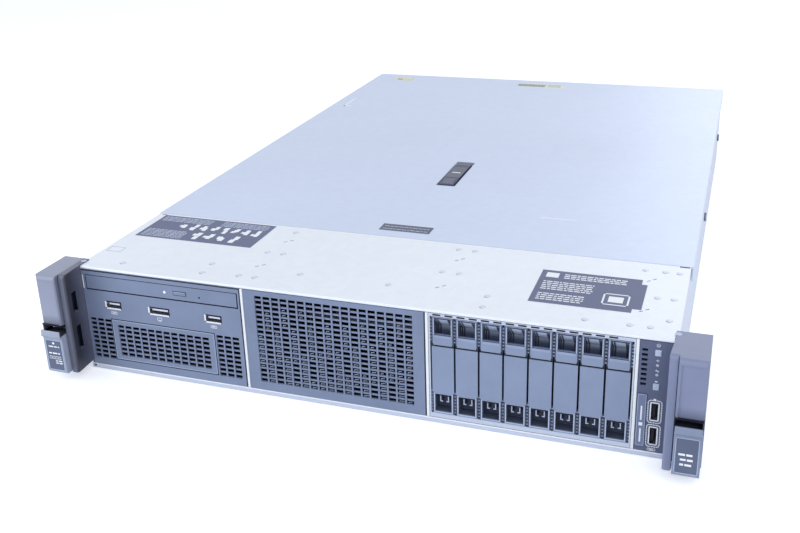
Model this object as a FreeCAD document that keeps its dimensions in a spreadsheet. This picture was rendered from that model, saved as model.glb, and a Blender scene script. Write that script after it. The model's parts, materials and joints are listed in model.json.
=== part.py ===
import FreeCAD, Part
import math
import os
import re

import Sketcher

# Rack server, two rack units high.  Millimetres.  +Z up, the front faces -Y.
# Origin: middle of the chassis underside.  Every piece is drawn in a frame whose
# Y = 0 is the front plane of the bays (or, for rear pieces, the rear plane).

SIZES = [
    # chassis and covers
    ("chassis_width", 445.4, "over the skirts of the access panel"),
    ("chassis_depth", 679.4, "front plane of the bays to the rear panel"),
    ("chassis_height", 87.3, "underside to the top of the covers"),
    ("steel", 1.2, "sheet of the pan and the rear panel"),
    ("cover", 1.2, "sheet of both top covers"),
    ("flange", 6.0, "inward flange on top of each side wall"),
    ("fit", 0.3, "clearance between neighbouring pieces"),
    ("sill_height", 4.0, "folded front edge of the pan"),
    ("cover_lip", 1.9, "folded front edge of the front cover, with its sheet"),
    ("lip_gap", 0.6, "front edge of the cover to the bays under it"),
    ("front_cover_depth", 117.0, "front edge to the seam"),
    ("seam", 0.6, "gap between the two covers"),
    ("skirt_thickness", 1.0, "side skirt of the access panel"),
    ("skirt_height", 11.0, "side skirt of the access panel, with its sheet"),
    ("skirt_gap", 0.3, "side wall to skirt"),
    ("stud_radius", 4.0, "rail stud on the side wall"),
    ("stud_length", 2.2, "how far a rail stud stands out of the side wall"),
    ("stud_height", 43.0, "rail stud above the underside"),
    ("stud_first", 70.0, "front plane to the first rail stud"),
    ("stud_spacing", 275.0, "between the rail studs"),
    # bays
    ("media_bay_width", 137.4, "inner side wall to the first divider"),
    ("bay_pitch", 139.9, "divider to divider"),
    ("divider", 1.9, "divider sheet, folded double"),
    ("divider_depth", 110.0, "divider, front to back"),
    ("panel_face", 2.0, "moulded face of the bay panels"),
    ("panel_depth", 14.0, "moulded rim of the bay panels"),
    ("panel_rim", 1.8, "wall of the moulded rim"),
    ("slot_width", 5.4, "air slot"),
    ("slot_height", 2.6, "air slot"),
    ("slot_pitch_x", 6.7, "air slot to air slot across"),
    ("slot_pitch_z", 3.95, "air slot to air slot upwards"),
    ("upright_bar", 0.5, "upright bars of the air slots, front to back"),
    ("level_bar", 0.8, "level bars of the air slots, front to back"),
    ("bar_gap", 0.1, "upright bars to the level bars behind them"),
    ("grille_bottom", 11.1, "lowest row of slots above the underside"),
    ("mesh_left", 3.2, "inner side wall to the first column of slots"),
    ("mesh_bottom", 10.3, "lowest row of side slots in the media bay"),
    ("mesh_right", 24.0, "first slot of the right column group to the divider"),
    ("insert_left", 23.0, "inner side wall to the small bay insert"),
    ("insert_width", 88.6, "small bay insert"),
    ("insert_bottom", 11.0, "small bay insert above the underside"),
    ("insert_height", 34.0, "small bay insert"),
    ("insert_depth", 40.0, "small bay insert, front to back"),
    # optical drive
    ("optical_left", 4.7, "inner side wall to the drive bezel"),
    ("optical_width", 128.4, "drive bezel"),
    ("optical_bottom", 69.4, "drive bezel above the underside"),
    ("optical_height", 10.9, "drive bezel"),
    ("optical_depth", 127.0, "drive body"),
    ("optical_body", 9.5, "height of the drive body"),
    ("tray_height", 4.4, "disc tray"),
    ("disc_radius", 60.5, "disc recess"),
    ("disc_depth", 1.8, "disc recess"),
    ("spindle_radius", 11.0, "spindle hub"),
    ("eject_width", 10.2, "eject button"),
    ("eject_height", 2.7, "eject button"),
    ("eject_from_right", 42.0, "eject button to the right end of the bezel"),
    ("eject_stroke", 0.7, "travel of the eject button"),
    # sockets
    ("usb_width", 13.2, "socket shell, long side"),
    ("usb_height", 5.4, "socket shell, short side"),
    ("usb_depth", 13.0, "socket shell, front to back"),
    ("shell", 0.5, "sheet of a socket shell"),
    ("tongue", 1.8, "plastic tongue in a socket"),
    ("socket_level", 54.4, "front sockets above the underside"),
    ("usb_left_offset", 19.6, "inner side wall to the left socket"),
    ("display_offset", 57.6, "inner side wall to the display socket"),
    ("display_width", 17.2, "display socket"),
    ("usb_right_offset", 105.6, "inner side wall to the right socket"),
    # drive bay
    ("cage_sheet", 1.0, "sheet of the drive cage"),
    ("cage_depth", 108.0, "drive cage, front to back"),
    ("blank_count", 8, "drive blanks side by side"),
    ("blank_pitch", 16.8, "drive blank to drive blank"),
    ("blank_width", 15.4, "drive blank"),
    ("blank_bottom", 8.0, "drive blank above the underside"),
    ("blank_height", 74.2, "drive blank"),
    ("blank_depth", 46.0, "drive blank, front to back"),
    ("blank_wall", 1.7, "side wall beside the grip recess"),
    ("grip_bottom", 61.4, "grip recess above the bottom of the blank"),
    ("grip_height", 11.8, "grip recess"),
    ("grip_depth", 9.0, "grip recess at its lower edge"),
    ("bar_thickness", 2.2, "bar under the grip recess"),
    ("bar_hook", 6.0, "hollow behind the bar, below its top"),
    ("bar_groove", 52.0, "groove under the bar, above the bottom of the blank"),
    ("bar_groove_height", 1.3, "groove under the bar"),
    ("window_bottom", 1.4, "lower window above the bottom of the blank"),
    ("window_height", 13.8, "lower window"),
    ("window_depth", 7.0, "lower window"),
    ("catch_spread", 6.4, "catches of the lower window, outside to outside"),
    ("catch_wall", 0.8, "wall of a catch"),
    ("catch_foot", 2.0, "foot of a catch"),
    ("catch_height", 4.6, "catch in the lower window"),
    ("catch_rise", 4.0, "catch, out of the floor of the window"),
    ("catch_drop", 7.4, "top of the lower window to the foot of a catch"),
    ("key_hole", 1.2, "hole between the catches"),
    ("key_hole_depth", 1.6, "hole between the catches"),
    ("blank_travel", 60.0, "how far a blank is drawn out"),
    # control panel
    ("vent_left", 1.8, "divider to the small vent slots"),
    ("vent_width", 3.6, "small vent slot"),
    ("vent_height", 1.9, "small vent slot"),
    ("vent_pitch", 3.5, "small vent slot to small vent slot"),
    ("vent_bottom", 52.7, "lowest small vent slot above the underside"),
    ("button_left", 9.8, "divider to the buttons"),
    ("button_width", 4.0, "power and locator button"),
    ("power_level", 74.6, "power button above the underside"),
    ("power_height", 4.4, "power button"),
    ("locator_level", 50.2, "locator button above the underside"),
    ("locator_height", 4.8, "locator button"),
    ("button_length", 9.0, "buttons, front to back"),
    ("button_stroke", 1.0, "travel of the buttons"),
    ("tab_left", 0.9, "divider to the pull tab"),
    ("tab_width", 5.6, "pull tab"),
    ("tab_bottom", 8.2, "pull tab above the underside"),
    ("tab_height", 38.4, "pull tab"),
    ("tab_blade", 1.2, "blade of the pull tab"),
    ("tab_length", 75.0, "blade of the pull tab"),
    ("side_usb_left", 9.2, "divider to the upright sockets"),
    ("side_usb_low", 9.8, "lower upright socket above the underside"),
    ("side_usb_high", 27.8, "upper upright socket above the underside"),
    # ears
    ("rack_width", 482.6, "over both ears"),
    ("ear_inner", 217.8, "middle plane to the inner face of an ear"),
    ("ear_draft", 1.6, "how far the inner face leans outwards at the back"),
    ("ear_ridge", 5.6, "inner ridge of an ear"),
    ("ear_groove", 0.6, "groove between ridge and outer cover"),
    ("ear_front", 26.0, "front of the outer cover before the bays"),
    ("ridge_front", 22.0, "front of the inner ridge before the bays"),
    ("ear_back", 12.0, "back of an ear behind the front plane"),
    ("ear_top", 88.1, "top of an ear above the underside"),
    ("ear_bottom", 7.0, "bottom of an ear above the underside"),
    ("ear_round", 3.4, "rounded top edge of an ear"),
    ("ear_flange", 3.0, "flange that meets the rack post"),
    ("ear_wall", 2.0, "moulded wall of an ear"),
    ("inset_depth", 0.8, "sunk face of the outer cover"),
    ("inset_side", 1.7, "frame beside the sunk face"),
    ("inset_top", 3.4, "frame above the sunk face"),
    ("recess_bottom", 40.4, "finger recess above the underside"),
    ("recess_height", 8.0, "finger recess over the lever, at the front"),
    ("recess_back", 5.6, "finger recess over the lever, at the back"),
    ("lever_room", 12.4, "room of the lever behind the front of the outer cover"),
    ("screw_pocket", 6.8, "pocket of the rack screw, centre to corner"),
    ("notch_low", 24.0, "lower notch in the inner face"),
    ("notch_high", 55.0, "upper notch in the inner face"),
    ("notch_low_height", 19.5, "lower notch in the inner face"),
    ("notch_high_height", 16.5, "upper notch in the inner face"),
    ("notch_width", 5.6, "notches, front to back"),
    ("notch_depth", 4.0, "notches, into the ridge"),
    # release levers
    ("lever_bottom", 7.6, "bottom of a lever above the underside"),
    ("lever_front", 27.4, "front of a lever before the bays"),
    ("lever_depth", 12.0, "lever, front to back"),
    ("lever_wall", 2.4, "moulded wall of a lever"),
    ("lever_lip", 2.0, "lip at the top of a lever"),
    ("pin_radius", 1.5, "hinge pin of a lever"),
    ("pin_play", 0.05, "radial play of a lever or latch on its pin"),
    ("pin_forward", 19.0, "hinge pin before the bays"),
    ("pin_level", 12.0, "hinge pin above the underside"),
    ("screw_radius", 3.0, "captive rack screw"),
    ("screw_neck", 0.5, "how much thicker a rack screw is in the flange"),
    ("screw_head", 5.0, "radius of the head of a rack screw"),
    ("screw_head_length", 4.0, "head of a rack screw"),
    ("screw_reach", 10.0, "rack screw behind the flange"),
    ("screw_level", 26.0, "rack screw above the underside"),
    ("screw_centre", 232.4, "middle plane to a rack screw"),
    # panel latch
    ("latch_centre", -3.8, "middle of the latch, across"),
    ("latch_width", 14.5, "latch"),
    ("latch_front", 250.5, "front end of the latch behind the front plane"),
    ("latch_length", 69.0, "latch"),
    ("latch_thickness", 5.0, "latch"),
    ("latch_proud", 1.0, "top of the latch above the panel"),
    ("latch_gap", 1.6, "latch to the wall of its well"),
    ("well_depth", 8.0, "well of the latch"),
    ("latch_tail", 4.0, "latch behind its pin"),
    ("latch_pin_radius", 1.2, "pin of the latch"),
    # fans
    ("fan_count", 6, "fans side by side"),
    ("fan_pitch", 66.0, "fan to fan"),
    ("fan_front", 130.0, "fan cage behind the front plane"),
    ("fan_cage_depth", 44.0, "fan cage, front to back"),
    ("fan_size", 62.0, "fan frame"),
    ("fan_depth", 38.0, "fan frame, front to back"),
    ("fan_bore", 28.5, "radius of the air way of a fan"),
    ("hub_radius", 14.0, "hub of a fan"),
    ("blade_reach", 25.1, "axis of a fan to the tip of a blade"),
    ("blade_length", 22.0, "rotor, front to back"),
    ("blade_thickness", 1.4, "blade of a fan"),
    ("nose_radius", 5.0, "round nose of a hub"),
    ("nose_length", 1.2, "round nose of a hub"),
    ("blade_slant", 19.8, "rise of a blade over its length"),
    ("grip_size", 9.0, "finger grip on top of a fan"),
    # boards
    ("board", 1.6, "circuit board"),
    ("standoff", 4.5, "board above the floor of the pan"),
    ("standoff_size", 3.5, "hexagonal standoff, centre to corner"),
    ("board_front", 186.0, "main board behind the front plane"),
    ("board_half_width", 208.0, "middle plane to the side edge of the main board"),
    ("board_back", 20.0, "main board to the rear panel"),
    ("socket_width", 92.0, "processor heat sink"),
    ("sink_depth", 98.0, "processor heat sink, front to back"),
    ("sink_base", 6.0, "base of a heat sink"),
    ("sink_height", 48.0, "heat sink"),
    ("fin", 1.4, "fin of a heat sink"),
    ("fin_count", 10, "fins of a heat sink"),
    ("sink_front", 296.0, "heat sinks behind the front plane"),
    ("sink_centre", 96.0, "middle plane to the middle of a heat sink"),
    ("module_length", 133.0, "memory module"),
    ("module_height", 31.0, "memory module"),
    ("module_thickness", 3.8, "memory module"),
    ("module_pitch", 9.6, "memory module to memory module"),
    ("module_front", 280.0, "memory modules behind the front plane"),
    # rear
    ("supply_width", 70.0, "power supply"),
    ("supply_height", 39.6, "power supply"),
    ("supply_length", 190.0, "power supply"),
    ("supply_pitch", 71.6, "power supply to power supply"),
    ("supply_left", 3.4, "inner side wall to the first power supply"),
    ("supply_travel", 200.0, "how far a power supply is drawn out"),
    ("handle_reach", 24.0, "handle of a power supply behind the rear panel"),
    ("handle_bar", 4.0, "handle of a power supply"),
    ("handle_width", 30.0, "handle of a power supply"),
    ("supply_latch_right", 10.0, "latch of a power supply to the right side of its case"),
    ("supply_latch_width", 18.0, "latch of a power supply"),
    ("supply_latch_reach", 12.0, "latch of a power supply behind the rear panel"),
    ("supply_knuckle", 1.9, "radius of the knuckle that the latch turns on"),
    ("supply_pivot", 34.6, "knuckle of the latch above the underside of the case"),
    ("supply_lug", 1.6, "lugs beside the latch"),
    ("supply_lug_reach", 4.2, "lugs behind the case"),
    ("inlet_width", 24.4, "power inlet"),
    ("inlet_height", 17.0, "power inlet"),
    ("inlet_depth", 15.0, "power inlet"),
    ("card_pitch", 20.3, "expansion slot to expansion slot"),
    ("card_slot", 12.5, "opening of an expansion slot"),
    ("card_opening", 108.0, "length of an expansion slot"),
    ("riser_width", 128.0, "riser cage"),
    ("riser_depth", 196.0, "riser cage, front to back"),
    ("riser_bottom", 24.0, "riser cage above the underside"),
    ("riser_first", -71.0, "left side of the middle riser cage"),
    ("riser_gap", 8.0, "between the riser cages"),
]

ALIASES = {name for name, value, note in SIZES}

doc = FreeCAD.newDocument("rack_server")
sheet = doc.addObject("Spreadsheet::Sheet", "sizes")
for row, (alias, value, note) in enumerate(SIZES, 1):
    sheet.set("A%d" % row, alias)
    sheet.set("B%d" % row, str(value))
    sheet.set("C%d" % row, note)
    sheet.setAlias("B%d" % row, alias)
doc.recompute()

PIECES = []


def bound(text):
    """An expression in sheet terms, from one written with the bare size names."""
    return re.sub(r"[a-z_]+", lambda m: "sizes." + m.group(0) if m.group(0) in ALIASES else m.group(0),
                  str(text))


def size(alias):
    """The present value of one size."""
    return float(sheet.get(alias))


def count(alias):
    """The present value of a size that is a number of copies."""
    return int(round(size(alias)))


# Shared levels and planes, as expressions.
HALF_BODY = "(chassis_width/2 - skirt_thickness - skirt_gap)"
HALF_INNER = "(chassis_width/2 - skirt_thickness - skirt_gap - steel)"
COVER_UNDER = "(chassis_height - cover)"
FLANGE_UNDER = "(chassis_height - cover - steel)"
LIP_UNDER = "(chassis_height - cover_lip)"
BAY_TOP = "(chassis_height - cover_lip - lip_gap)"
BAY_BOTTOM = "(sill_height + fit)"
DIVIDER_1 = "(media_bay_width - %s)" % HALF_INNER
DIVIDER_2 = "(media_bay_width + bay_pitch - %s)" % HALF_INNER
DIVIDER_3 = "(media_bay_width + 2*bay_pitch - %s)" % HALF_INNER
PANEL_EDGE = "(ear_inner + ear_draft - fit)"
FRONT = "-chassis_depth/2"
REAR = "chassis_depth/2"


def new_piece(name, shift=FRONT, across="0"):
    """An empty body, placed at the front or the rear plane."""
    body = doc.addObject("PartDesign::Body", name)
    body.Label = name
    body.AllowCompound = True
    body.setExpression("Placement.Base.x", bound(across))
    body.setExpression("Placement.Base.y", bound(shift))
    PIECES.append(body)
    return body


def origin_plane(body, role):
    return [item for item in body.Origin.OriginFeatures if item.Role == role][0]


def new_sketch(body, plane, start):
    """A sketch parallel to an origin plane, at the height start along +X, +Y or +Z."""
    sketch = body.newObject("Sketcher::SketchObject", "sketch")
    sketch.AttachmentSupport = [(origin_plane(body, plane + "_Plane"), "")]
    sketch.MapMode = "FlatFace"
    sign = "-1*" if plane == "XZ" else ""
    sketch.setExpression("AttachmentOffset.Base.z", bound("%s(%s)" % (sign, start)))
    return sketch


def draw_outline(sketch, points):
    """A closed outline through the points, each corner tied to two expressions."""
    first = sketch.GeometryCount
    total = len(points)
    guess = [FreeCAD.Vector(math.cos(2 * math.pi * k / total), math.sin(2 * math.pi * k / total), 0)
             for k in range(total)]
    lines = [Part.LineSegment(guess[k], guess[(k + 1) % total]) for k in range(total)]
    sketch.addGeometry(lines, False)
    joins = [Sketcher.Constraint("Coincident", first + k, 2, first + (k + 1) % total, 1)
             for k in range(total)]
    sketch.addConstraint(joins)
    for k, (across, up) in enumerate(points):
        for kind, text in (("DistanceX", across), ("DistanceY", up)):
            place = guess[k].x if kind == "DistanceX" else guess[k].y
            index = sketch.addConstraint(Sketcher.Constraint(kind, first + k, 1, place))
            sketch.setExpression("Constraints[%d]" % index, bound(text))


def draw_circle(sketch, across, up, radius):
    """A full circle, its centre and radius tied to expressions."""
    index = sketch.addGeometry(Part.Circle(FreeCAD.Vector(1, 1, 0), FreeCAD.Vector(0, 0, 1), 1), False)
    for kind, text in (("DistanceX", across), ("DistanceY", up)):
        item = sketch.addConstraint(Sketcher.Constraint(kind, index, 3, 1.0))
        sketch.setExpression("Constraints[%d]" % item, bound(text))
    item = sketch.addConstraint(Sketcher.Constraint("Radius", index, 1.0))
    sketch.setExpression("Constraints[%d]" % item, bound(radius))


def box_points(low_a, low_b, high_a, high_b):
    return [(low_a, low_b), (high_a, low_b), (high_a, high_b), (low_a, high_b)]


def ring_points(radius, sides, across="0", up="0"):
    """Corners of a regular outline about a centre."""
    turn = 360.0 / sides
    return [("%s + (%s)*cos(%g)" % (across, radius, turn * (k + 0.5)),
             "%s + (%s)*sin(%g)" % (up, radius, turn * (k + 0.5))) for k in range(sides)]


def draw_all(sketch, shapes):
    for shape in shapes:
        if isinstance(shape, tuple):
            draw_circle(sketch, *shape)
        else:
            draw_outline(sketch, shape)


def add(body, plane, start, length, shapes, name="pad"):
    """Material from the plane at start, over length, along the positive axis."""
    sketch = new_sketch(body, plane, start)
    draw_all(sketch, shapes)
    pad = body.newObject("PartDesign::Pad", name)
    pad.Profile = sketch
    pad.Reversed = plane == "XZ"
    pad.setExpression("Length", bound(length))
    sketch.Visibility = False
    return pad


def cut(body, plane, start, length, shapes, name="pocket"):
    """Removes material from the plane at start, over length, along the positive axis."""
    sketch = new_sketch(body, plane, start)
    draw_all(sketch, shapes)
    pocket = body.newObject("PartDesign::Pocket", name)
    pocket.Profile = sketch
    pocket.Reversed = plane != "XZ"
    pocket.setExpression("Length", bound(length))
    sketch.Visibility = False
    return pocket


def draw_corner(sketch, across, up, radius):
    """The scrap outside a quarter round whose square corner is at low across, high up.

    The scrap reaches a little past both faces, so that the cut leaves no skin."""
    past = 1.0
    r = size(radius)
    arc = Part.ArcOfCircle(Part.Circle(FreeCAD.Vector(r, -r, 0), FreeCAD.Vector(0, 0, 1), r),
                           math.pi / 2, math.pi)
    corners = [(r, past), (-past, past), (-past, -r)]
    spots = [FreeCAD.Vector(r, 0, 0)] + [FreeCAD.Vector(a, b, 0) for a, b in corners] + [FreeCAD.Vector(0, -r, 0)]
    round_side = sketch.addGeometry(arc, False)
    lines = [sketch.addGeometry(Part.LineSegment(spots[k], spots[k + 1]), False) for k in range(4)]
    sketch.addConstraint(Sketcher.Constraint("Coincident", round_side, 1, lines[0], 1))
    for k in range(3):
        sketch.addConstraint(Sketcher.Constraint("Coincident", lines[k], 2, lines[k + 1], 1))
    sketch.addConstraint(Sketcher.Constraint("Coincident", lines[3], 2, round_side, 2))
    ties = [("DistanceX", round_side, 3, r, "%s + %s" % (across, radius)),
            ("DistanceY", round_side, 3, -r, "%s - %s" % (up, radius)),
            ("DistanceX", round_side, 1, r, "%s + %s" % (across, radius)),
            ("DistanceY", round_side, 1, 0.0, up),
            ("DistanceY", round_side, 2, -r, "%s - %s" % (up, radius)),
            ("DistanceX", lines[1], 1, r, "%s + %s" % (across, radius)),
            ("DistanceY", lines[1], 1, past, "%s + %g" % (up, past)),
            ("DistanceX", lines[2], 1, -past, "%s - %g" % (across, past)),
            ("DistanceY", lines[2], 1, past, "%s + %g" % (up, past)),
            ("DistanceX", lines[3], 1, -past, "%s - %g" % (across, past)),
            ("DistanceY", lines[3], 1, -r, "%s - %s" % (up, radius))]
    for kind, item, point, value, text in ties:
        index = sketch.addConstraint(Sketcher.Constraint(kind, item, point, value))
        sketch.setExpression("Constraints[%d]" % index, bound(text))


def round_corner(body, plane, start, length, across, up, radius, name="rounding"):
    """Rounds the edge where low across meets high up, over length."""
    sketch = new_sketch(body, plane, start)
    draw_corner(sketch, across, up, radius)
    pocket = body.newObject("PartDesign::Pocket", name)
    pocket.Profile = sketch
    pocket.Reversed = plane != "XZ"
    pocket.setExpression("Length", bound(length))
    return pocket


def repeat(body, feature, axis, number, spacing, name="pattern"):
    """Copies one feature along a sketch axis, H_Axis or V_Axis."""
    pattern = body.newObject("PartDesign::LinearPattern", name)
    pattern.Originals = [feature]
    pattern.Direction = (feature.Profile[0], [axis])
    pattern.Mode = "Spacing"
    pattern.setExpression("Offset", bound(spacing))
    pattern.Occurrences = number
    body.Tip = pattern
    return pattern


def round_edges(body, radius, wanted, kind="PartDesign::Fillet", prop="Radius"):
    """Rounds (or bevels) each edge of the present solid that wanted accepts."""
    doc.recompute()
    base = body.Tip
    names = ["Edge%d" % (k + 1) for k, edge in enumerate(base.Shape.Edges) if wanted(edge)]
    if not names:
        raise RuntimeError("no edge to round on " + body.Label)
    feature = body.newObject(kind, "rounding")
    feature.Base = (base, names)
    if prop == "Radius":
        feature.setExpression("Radius", bound(radius))
    else:
        feature.setExpression("Size", bound(radius))
    return feature


def edge_runs(edge, axis):
    """True for a straight edge along the axis 0, 1 or 2."""
    if len(edge.Vertexes) != 2 or not isinstance(edge.Curve, Part.Line):
        return False
    a, b = edge.Vertexes[0].Point, edge.Vertexes[1].Point
    span = [abs(a[k] - b[k]) for k in range(3)]
    return span[axis] > 1e-6 and sum(span) - span[axis] < 1e-6


def near(value, target):
    return abs(value - target) < 0.02


# ---------------------------------------------------------------- chassis

def make_chassis_pan():
    body = new_piece("chassis_pan")
    profile = [("-%s" % HALF_BODY, "0"), (HALF_BODY, "0"), (HALF_BODY, COVER_UNDER),
               ("%s - flange" % HALF_BODY, COVER_UNDER), ("%s - flange" % HALF_BODY, FLANGE_UNDER),
               (HALF_INNER, FLANGE_UNDER), (HALF_INNER, "steel"), ("-%s" % HALF_INNER, "steel"),
               ("-%s" % HALF_INNER, FLANGE_UNDER), ("flange - %s" % HALF_BODY, FLANGE_UNDER),
               ("flange - %s" % HALF_BODY, COVER_UNDER), ("-%s" % HALF_BODY, COVER_UNDER)]
    add(body, "XZ", "0", "chassis_depth", [profile], "folded_sheet")
    add(body, "XZ", "0", "steel", [box_points("-ear_inner", "0", "ear_inner", "sill_height")], "sill")
    corners = [box_points("%s - flange - 0.1" % HALF_BODY, "ear_bottom", "chassis_width", "chassis_height"),
               box_points("-chassis_width", "ear_bottom", "0.1 + flange - %s" % HALF_BODY,
                          "chassis_height")]
    cut(body, "XZ", "0", "ear_back", corners, "ear_seats")
    for number in range(3):
        place = "stud_first + %d*stud_spacing" % number
        add(body, "YZ", HALF_BODY, "stud_length", [(place, "stud_height", "stud_radius")], "stud")
        add(body, "YZ", "-%s - stud_length" % HALF_BODY, "stud_length",
            [(place, "stud_height", "stud_radius")], "stud")


def make_front_cover():
    body = new_piece("front_cover")
    profile = [("0", LIP_UNDER), ("cover", LIP_UNDER), ("cover", COVER_UNDER),
               ("front_cover_depth", COVER_UNDER), ("front_cover_depth", "chassis_height"),
               ("0", "chassis_height")]
    add(body, "YZ", "-%s" % HALF_BODY, "2*%s" % HALF_BODY, [profile], "sheet")
    round_edges(body, "cover*0.9",
                lambda e: edge_runs(e, 0) and near(e.Vertexes[0].Y, 0) and e.Vertexes[0].Z > size("chassis_height") - 0.1)
    cut(body, "XY", "0", "chassis_height + 1",
        [box_points(PANEL_EDGE, "-1", "chassis_width", "ear_back"),
         box_points("-chassis_width", "-1", "-" + PANEL_EDGE, "ear_back")], "ear_notches")


def make_dividers():
    body = new_piece("bay_dividers")
    strips = [box_points("%s - divider/2" % x, "steel", "%s + divider/2" % x, BAY_TOP)
              for x in (DIVIDER_1, DIVIDER_2, DIVIDER_3)]
    add(body, "XZ", "steel + fit", "divider_depth", strips, "strips")


def make_access_panel():
    body = new_piece("access_panel")
    half = "chassis_width/2"
    inner = "(chassis_width/2 - skirt_thickness)"
    low = "(chassis_height - skirt_height)"
    profile = [("-" + half, "chassis_height"), ("-" + half, low), ("-" + inner, low),
               ("-" + inner, COVER_UNDER), (inner, COVER_UNDER), (inner, low), (half, low),
               (half, "chassis_height")]
    start = "(front_cover_depth + seam)"
    add(body, "XZ", start, "chassis_depth - front_cover_depth - seam", [profile], "folded_sheet")
    left = "latch_centre - latch_width/2 - latch_gap"
    right = "latch_centre + latch_width/2 + latch_gap"
    front = "latch_front - latch_gap"
    back = "latch_front + latch_length + latch_gap"
    add(body, "XY", "chassis_height - well_depth - cover", "well_depth",
        [box_points(left + " - cover", front + " - cover", right + " + cover", back + " + cover")],
        "well")
    cut(body, "XY", "chassis_height - well_depth", "well_depth + 1",
        [box_points(left, front, right, back)], "well_inside")


def make_panel_latch():
    body = new_piece("panel_latch")
    top = "chassis_height + latch_proud"
    pin = "chassis_height + latch_proud - latch_thickness/2"
    end = "latch_front + latch_length"
    profile = [("latch_front + 1", top), ("latch_front", top + " - 1"), ("latch_front", top + " - latch_thickness - 1"),
               ("latch_front + 3", top + " - latch_thickness - 1"), ("latch_front + 4", top + " - latch_thickness"),
               (end + " - 2", top + " - latch_thickness"), (end, pin), (end + " - 1.4", top + " - 0.6"),
               (end + " - 10", top + " - 0.6"), (end + " - 11", top)]
    add(body, "YZ", "latch_centre - latch_width/2", "latch_width", [profile], "lever")
    cut(body, "YZ", "latch_centre - latch_width/2", "latch_width",
        [box_points("latch_front + 18", top + " - 0.8", "latch_front + 19.4", top + " + 1")], "groove")
    cut(body, "YZ", "latch_centre - latch_width", "2*latch_width",
        [("latch_front + latch_length - latch_tail", pin, "latch_pin_radius + pin_play")], "pin_hole")


def make_latch_pin():
    body = new_piece("latch_pin")
    pin = "chassis_height + latch_proud - latch_thickness/2"
    add(body, "YZ", "latch_centre - latch_width/2 - latch_gap", "latch_width + 2*latch_gap",
        [("latch_front + latch_length - latch_tail", pin, "latch_pin_radius")], "pin")


# ---------------------------------------------------------------- bay panels

def bay_panel(name, left, right):
    """A moulded bay panel: a face with a rim that is open at the back."""
    body = new_piece(name)
    add(body, "XZ", "0", "panel_depth", [box_points(left, BAY_BOTTOM, right, BAY_TOP)], "block")
    cut(body, "XZ", "panel_face", "panel_depth",
        [box_points("%s + panel_rim" % left, "%s + panel_rim" % BAY_BOTTOM,
                    "%s - panel_rim" % right, "%s - panel_rim" % BAY_TOP)], "hollow")
    return body


def slot_grid(body, left, bottom, columns, rows, name):
    """Air slots: upright bars in front and level bars just behind them, all held by the frame."""
    right = "%s + %d*slot_pitch_x + slot_width" % (left, columns - 1)
    top = "%s + %d*slot_pitch_z + slot_height" % (bottom, rows - 1)
    tall = [box_points("%s + %d*slot_pitch_x" % (left, k), bottom,
                       "%s + %d*slot_pitch_x + slot_width" % (left, k), top) for k in range(columns)]
    wide = [box_points(left, "%s + %d*slot_pitch_z" % (bottom, k), right,
                       "%s + %d*slot_pitch_z + slot_height" % (bottom, k)) for k in range(rows)]
    cut(body, "XZ", "-1", "1 + upright_bar", tall, name + "_tall")
    cut(body, "XZ", "upright_bar", "bar_gap", [box_points(left, bottom, right, top)], name + "_gap")
    cut(body, "XZ", "upright_bar + bar_gap", "level_bar", wide, name + "_wide")
    cut(body, "XZ", "upright_bar + bar_gap + level_bar", "panel_face",
        [box_points(left, bottom, right, top)], name + "_back")


def make_media_bezel():
    left = "(-%s)" % PANEL_EDGE
    right = "(%s - divider/2 - fit)" % DIVIDER_1
    body = bay_panel("media_bezel", left, right)
    inner = "-%s" % HALF_INNER
    windows = [
        box_points(inner + " + optical_left - fit", "optical_bottom - fit",
                   inner + " + optical_left + optical_width + fit", "optical_bottom + optical_height + fit"),
        box_points(inner + " + insert_left - fit", "insert_bottom - fit",
                   inner + " + insert_left + insert_width + fit", "insert_bottom + insert_height + fit"),
        box_points(inner + " + usb_left_offset", "socket_level",
                   inner + " + usb_left_offset + usb_width", "socket_level + usb_height"),
        box_points(inner + " + usb_right_offset", "socket_level",
                   inner + " + usb_right_offset + usb_width", "socket_level + usb_height"),
        box_points(inner + " + display_offset", "socket_level",
                   inner + " + display_offset + display_width", "socket_level + usb_height"),
    ]
    cut(body, "XZ", "-1", "panel_face + 2", windows, "windows")
    slot_grid(body, inner + " + mesh_left", "mesh_bottom", 3, 9, "mesh_a")
    slot_grid(body, "%s - mesh_right" % DIVIDER_1, "mesh_bottom", 3, 9, "mesh_b")


def make_bay_insert():
    body = new_piece("bay_insert")
    left = "(insert_left - %s)" % HALF_INNER
    right = "(insert_left + insert_width - %s)" % HALF_INNER
    top = "(insert_bottom + insert_height)"
    add(body, "XZ", "0", "insert_depth", [box_points(left, "insert_bottom", right, top)], "block")
    cut(body, "XZ", "panel_face", "insert_depth",
        [box_points(left + " + panel_rim", "insert_bottom + panel_rim", right + " - panel_rim",
                    top + " - panel_rim")], "hollow")
    slot_grid(body, left + " + 4.6", "insert_bottom + 3.6", 12, 7, "mesh")


def make_grille_panel():
    left = "(%s + divider/2 + fit)" % DIVIDER_1
    right = "(%s - divider/2 - fit)" % DIVIDER_2
    body = bay_panel("grille_panel", left, right)
    middle = "(%s + %s)/2" % (DIVIDER_1, DIVIDER_2)
    slot_grid(body, "(%s - (17*slot_pitch_x + slot_width)/2)" % middle, "grille_bottom", 18, 18, "grille")


# ---------------------------------------------------------------- optical drive

OPTICAL_LEFT = "(optical_left - %s)" % HALF_INNER


def make_optical_drive():
    body = new_piece("optical_drive")
    left = "(%s + 1)" % OPTICAL_LEFT
    right = "(%s + optical_width - 1)" % OPTICAL_LEFT
    low = "(optical_bottom + (optical_height - optical_body)/2)"
    front = "(panel_face + fit)"
    add(body, "XZ", front, "optical_depth", [box_points(left, low, right, low + " + optical_body")], "case")
    cut(body, "XZ", front, "optical_depth - 1",
        [box_points(left + " + 1", low + " + 1", right + " - 1", low + " + tray_height + 1.6")], "tray_slot")


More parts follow.
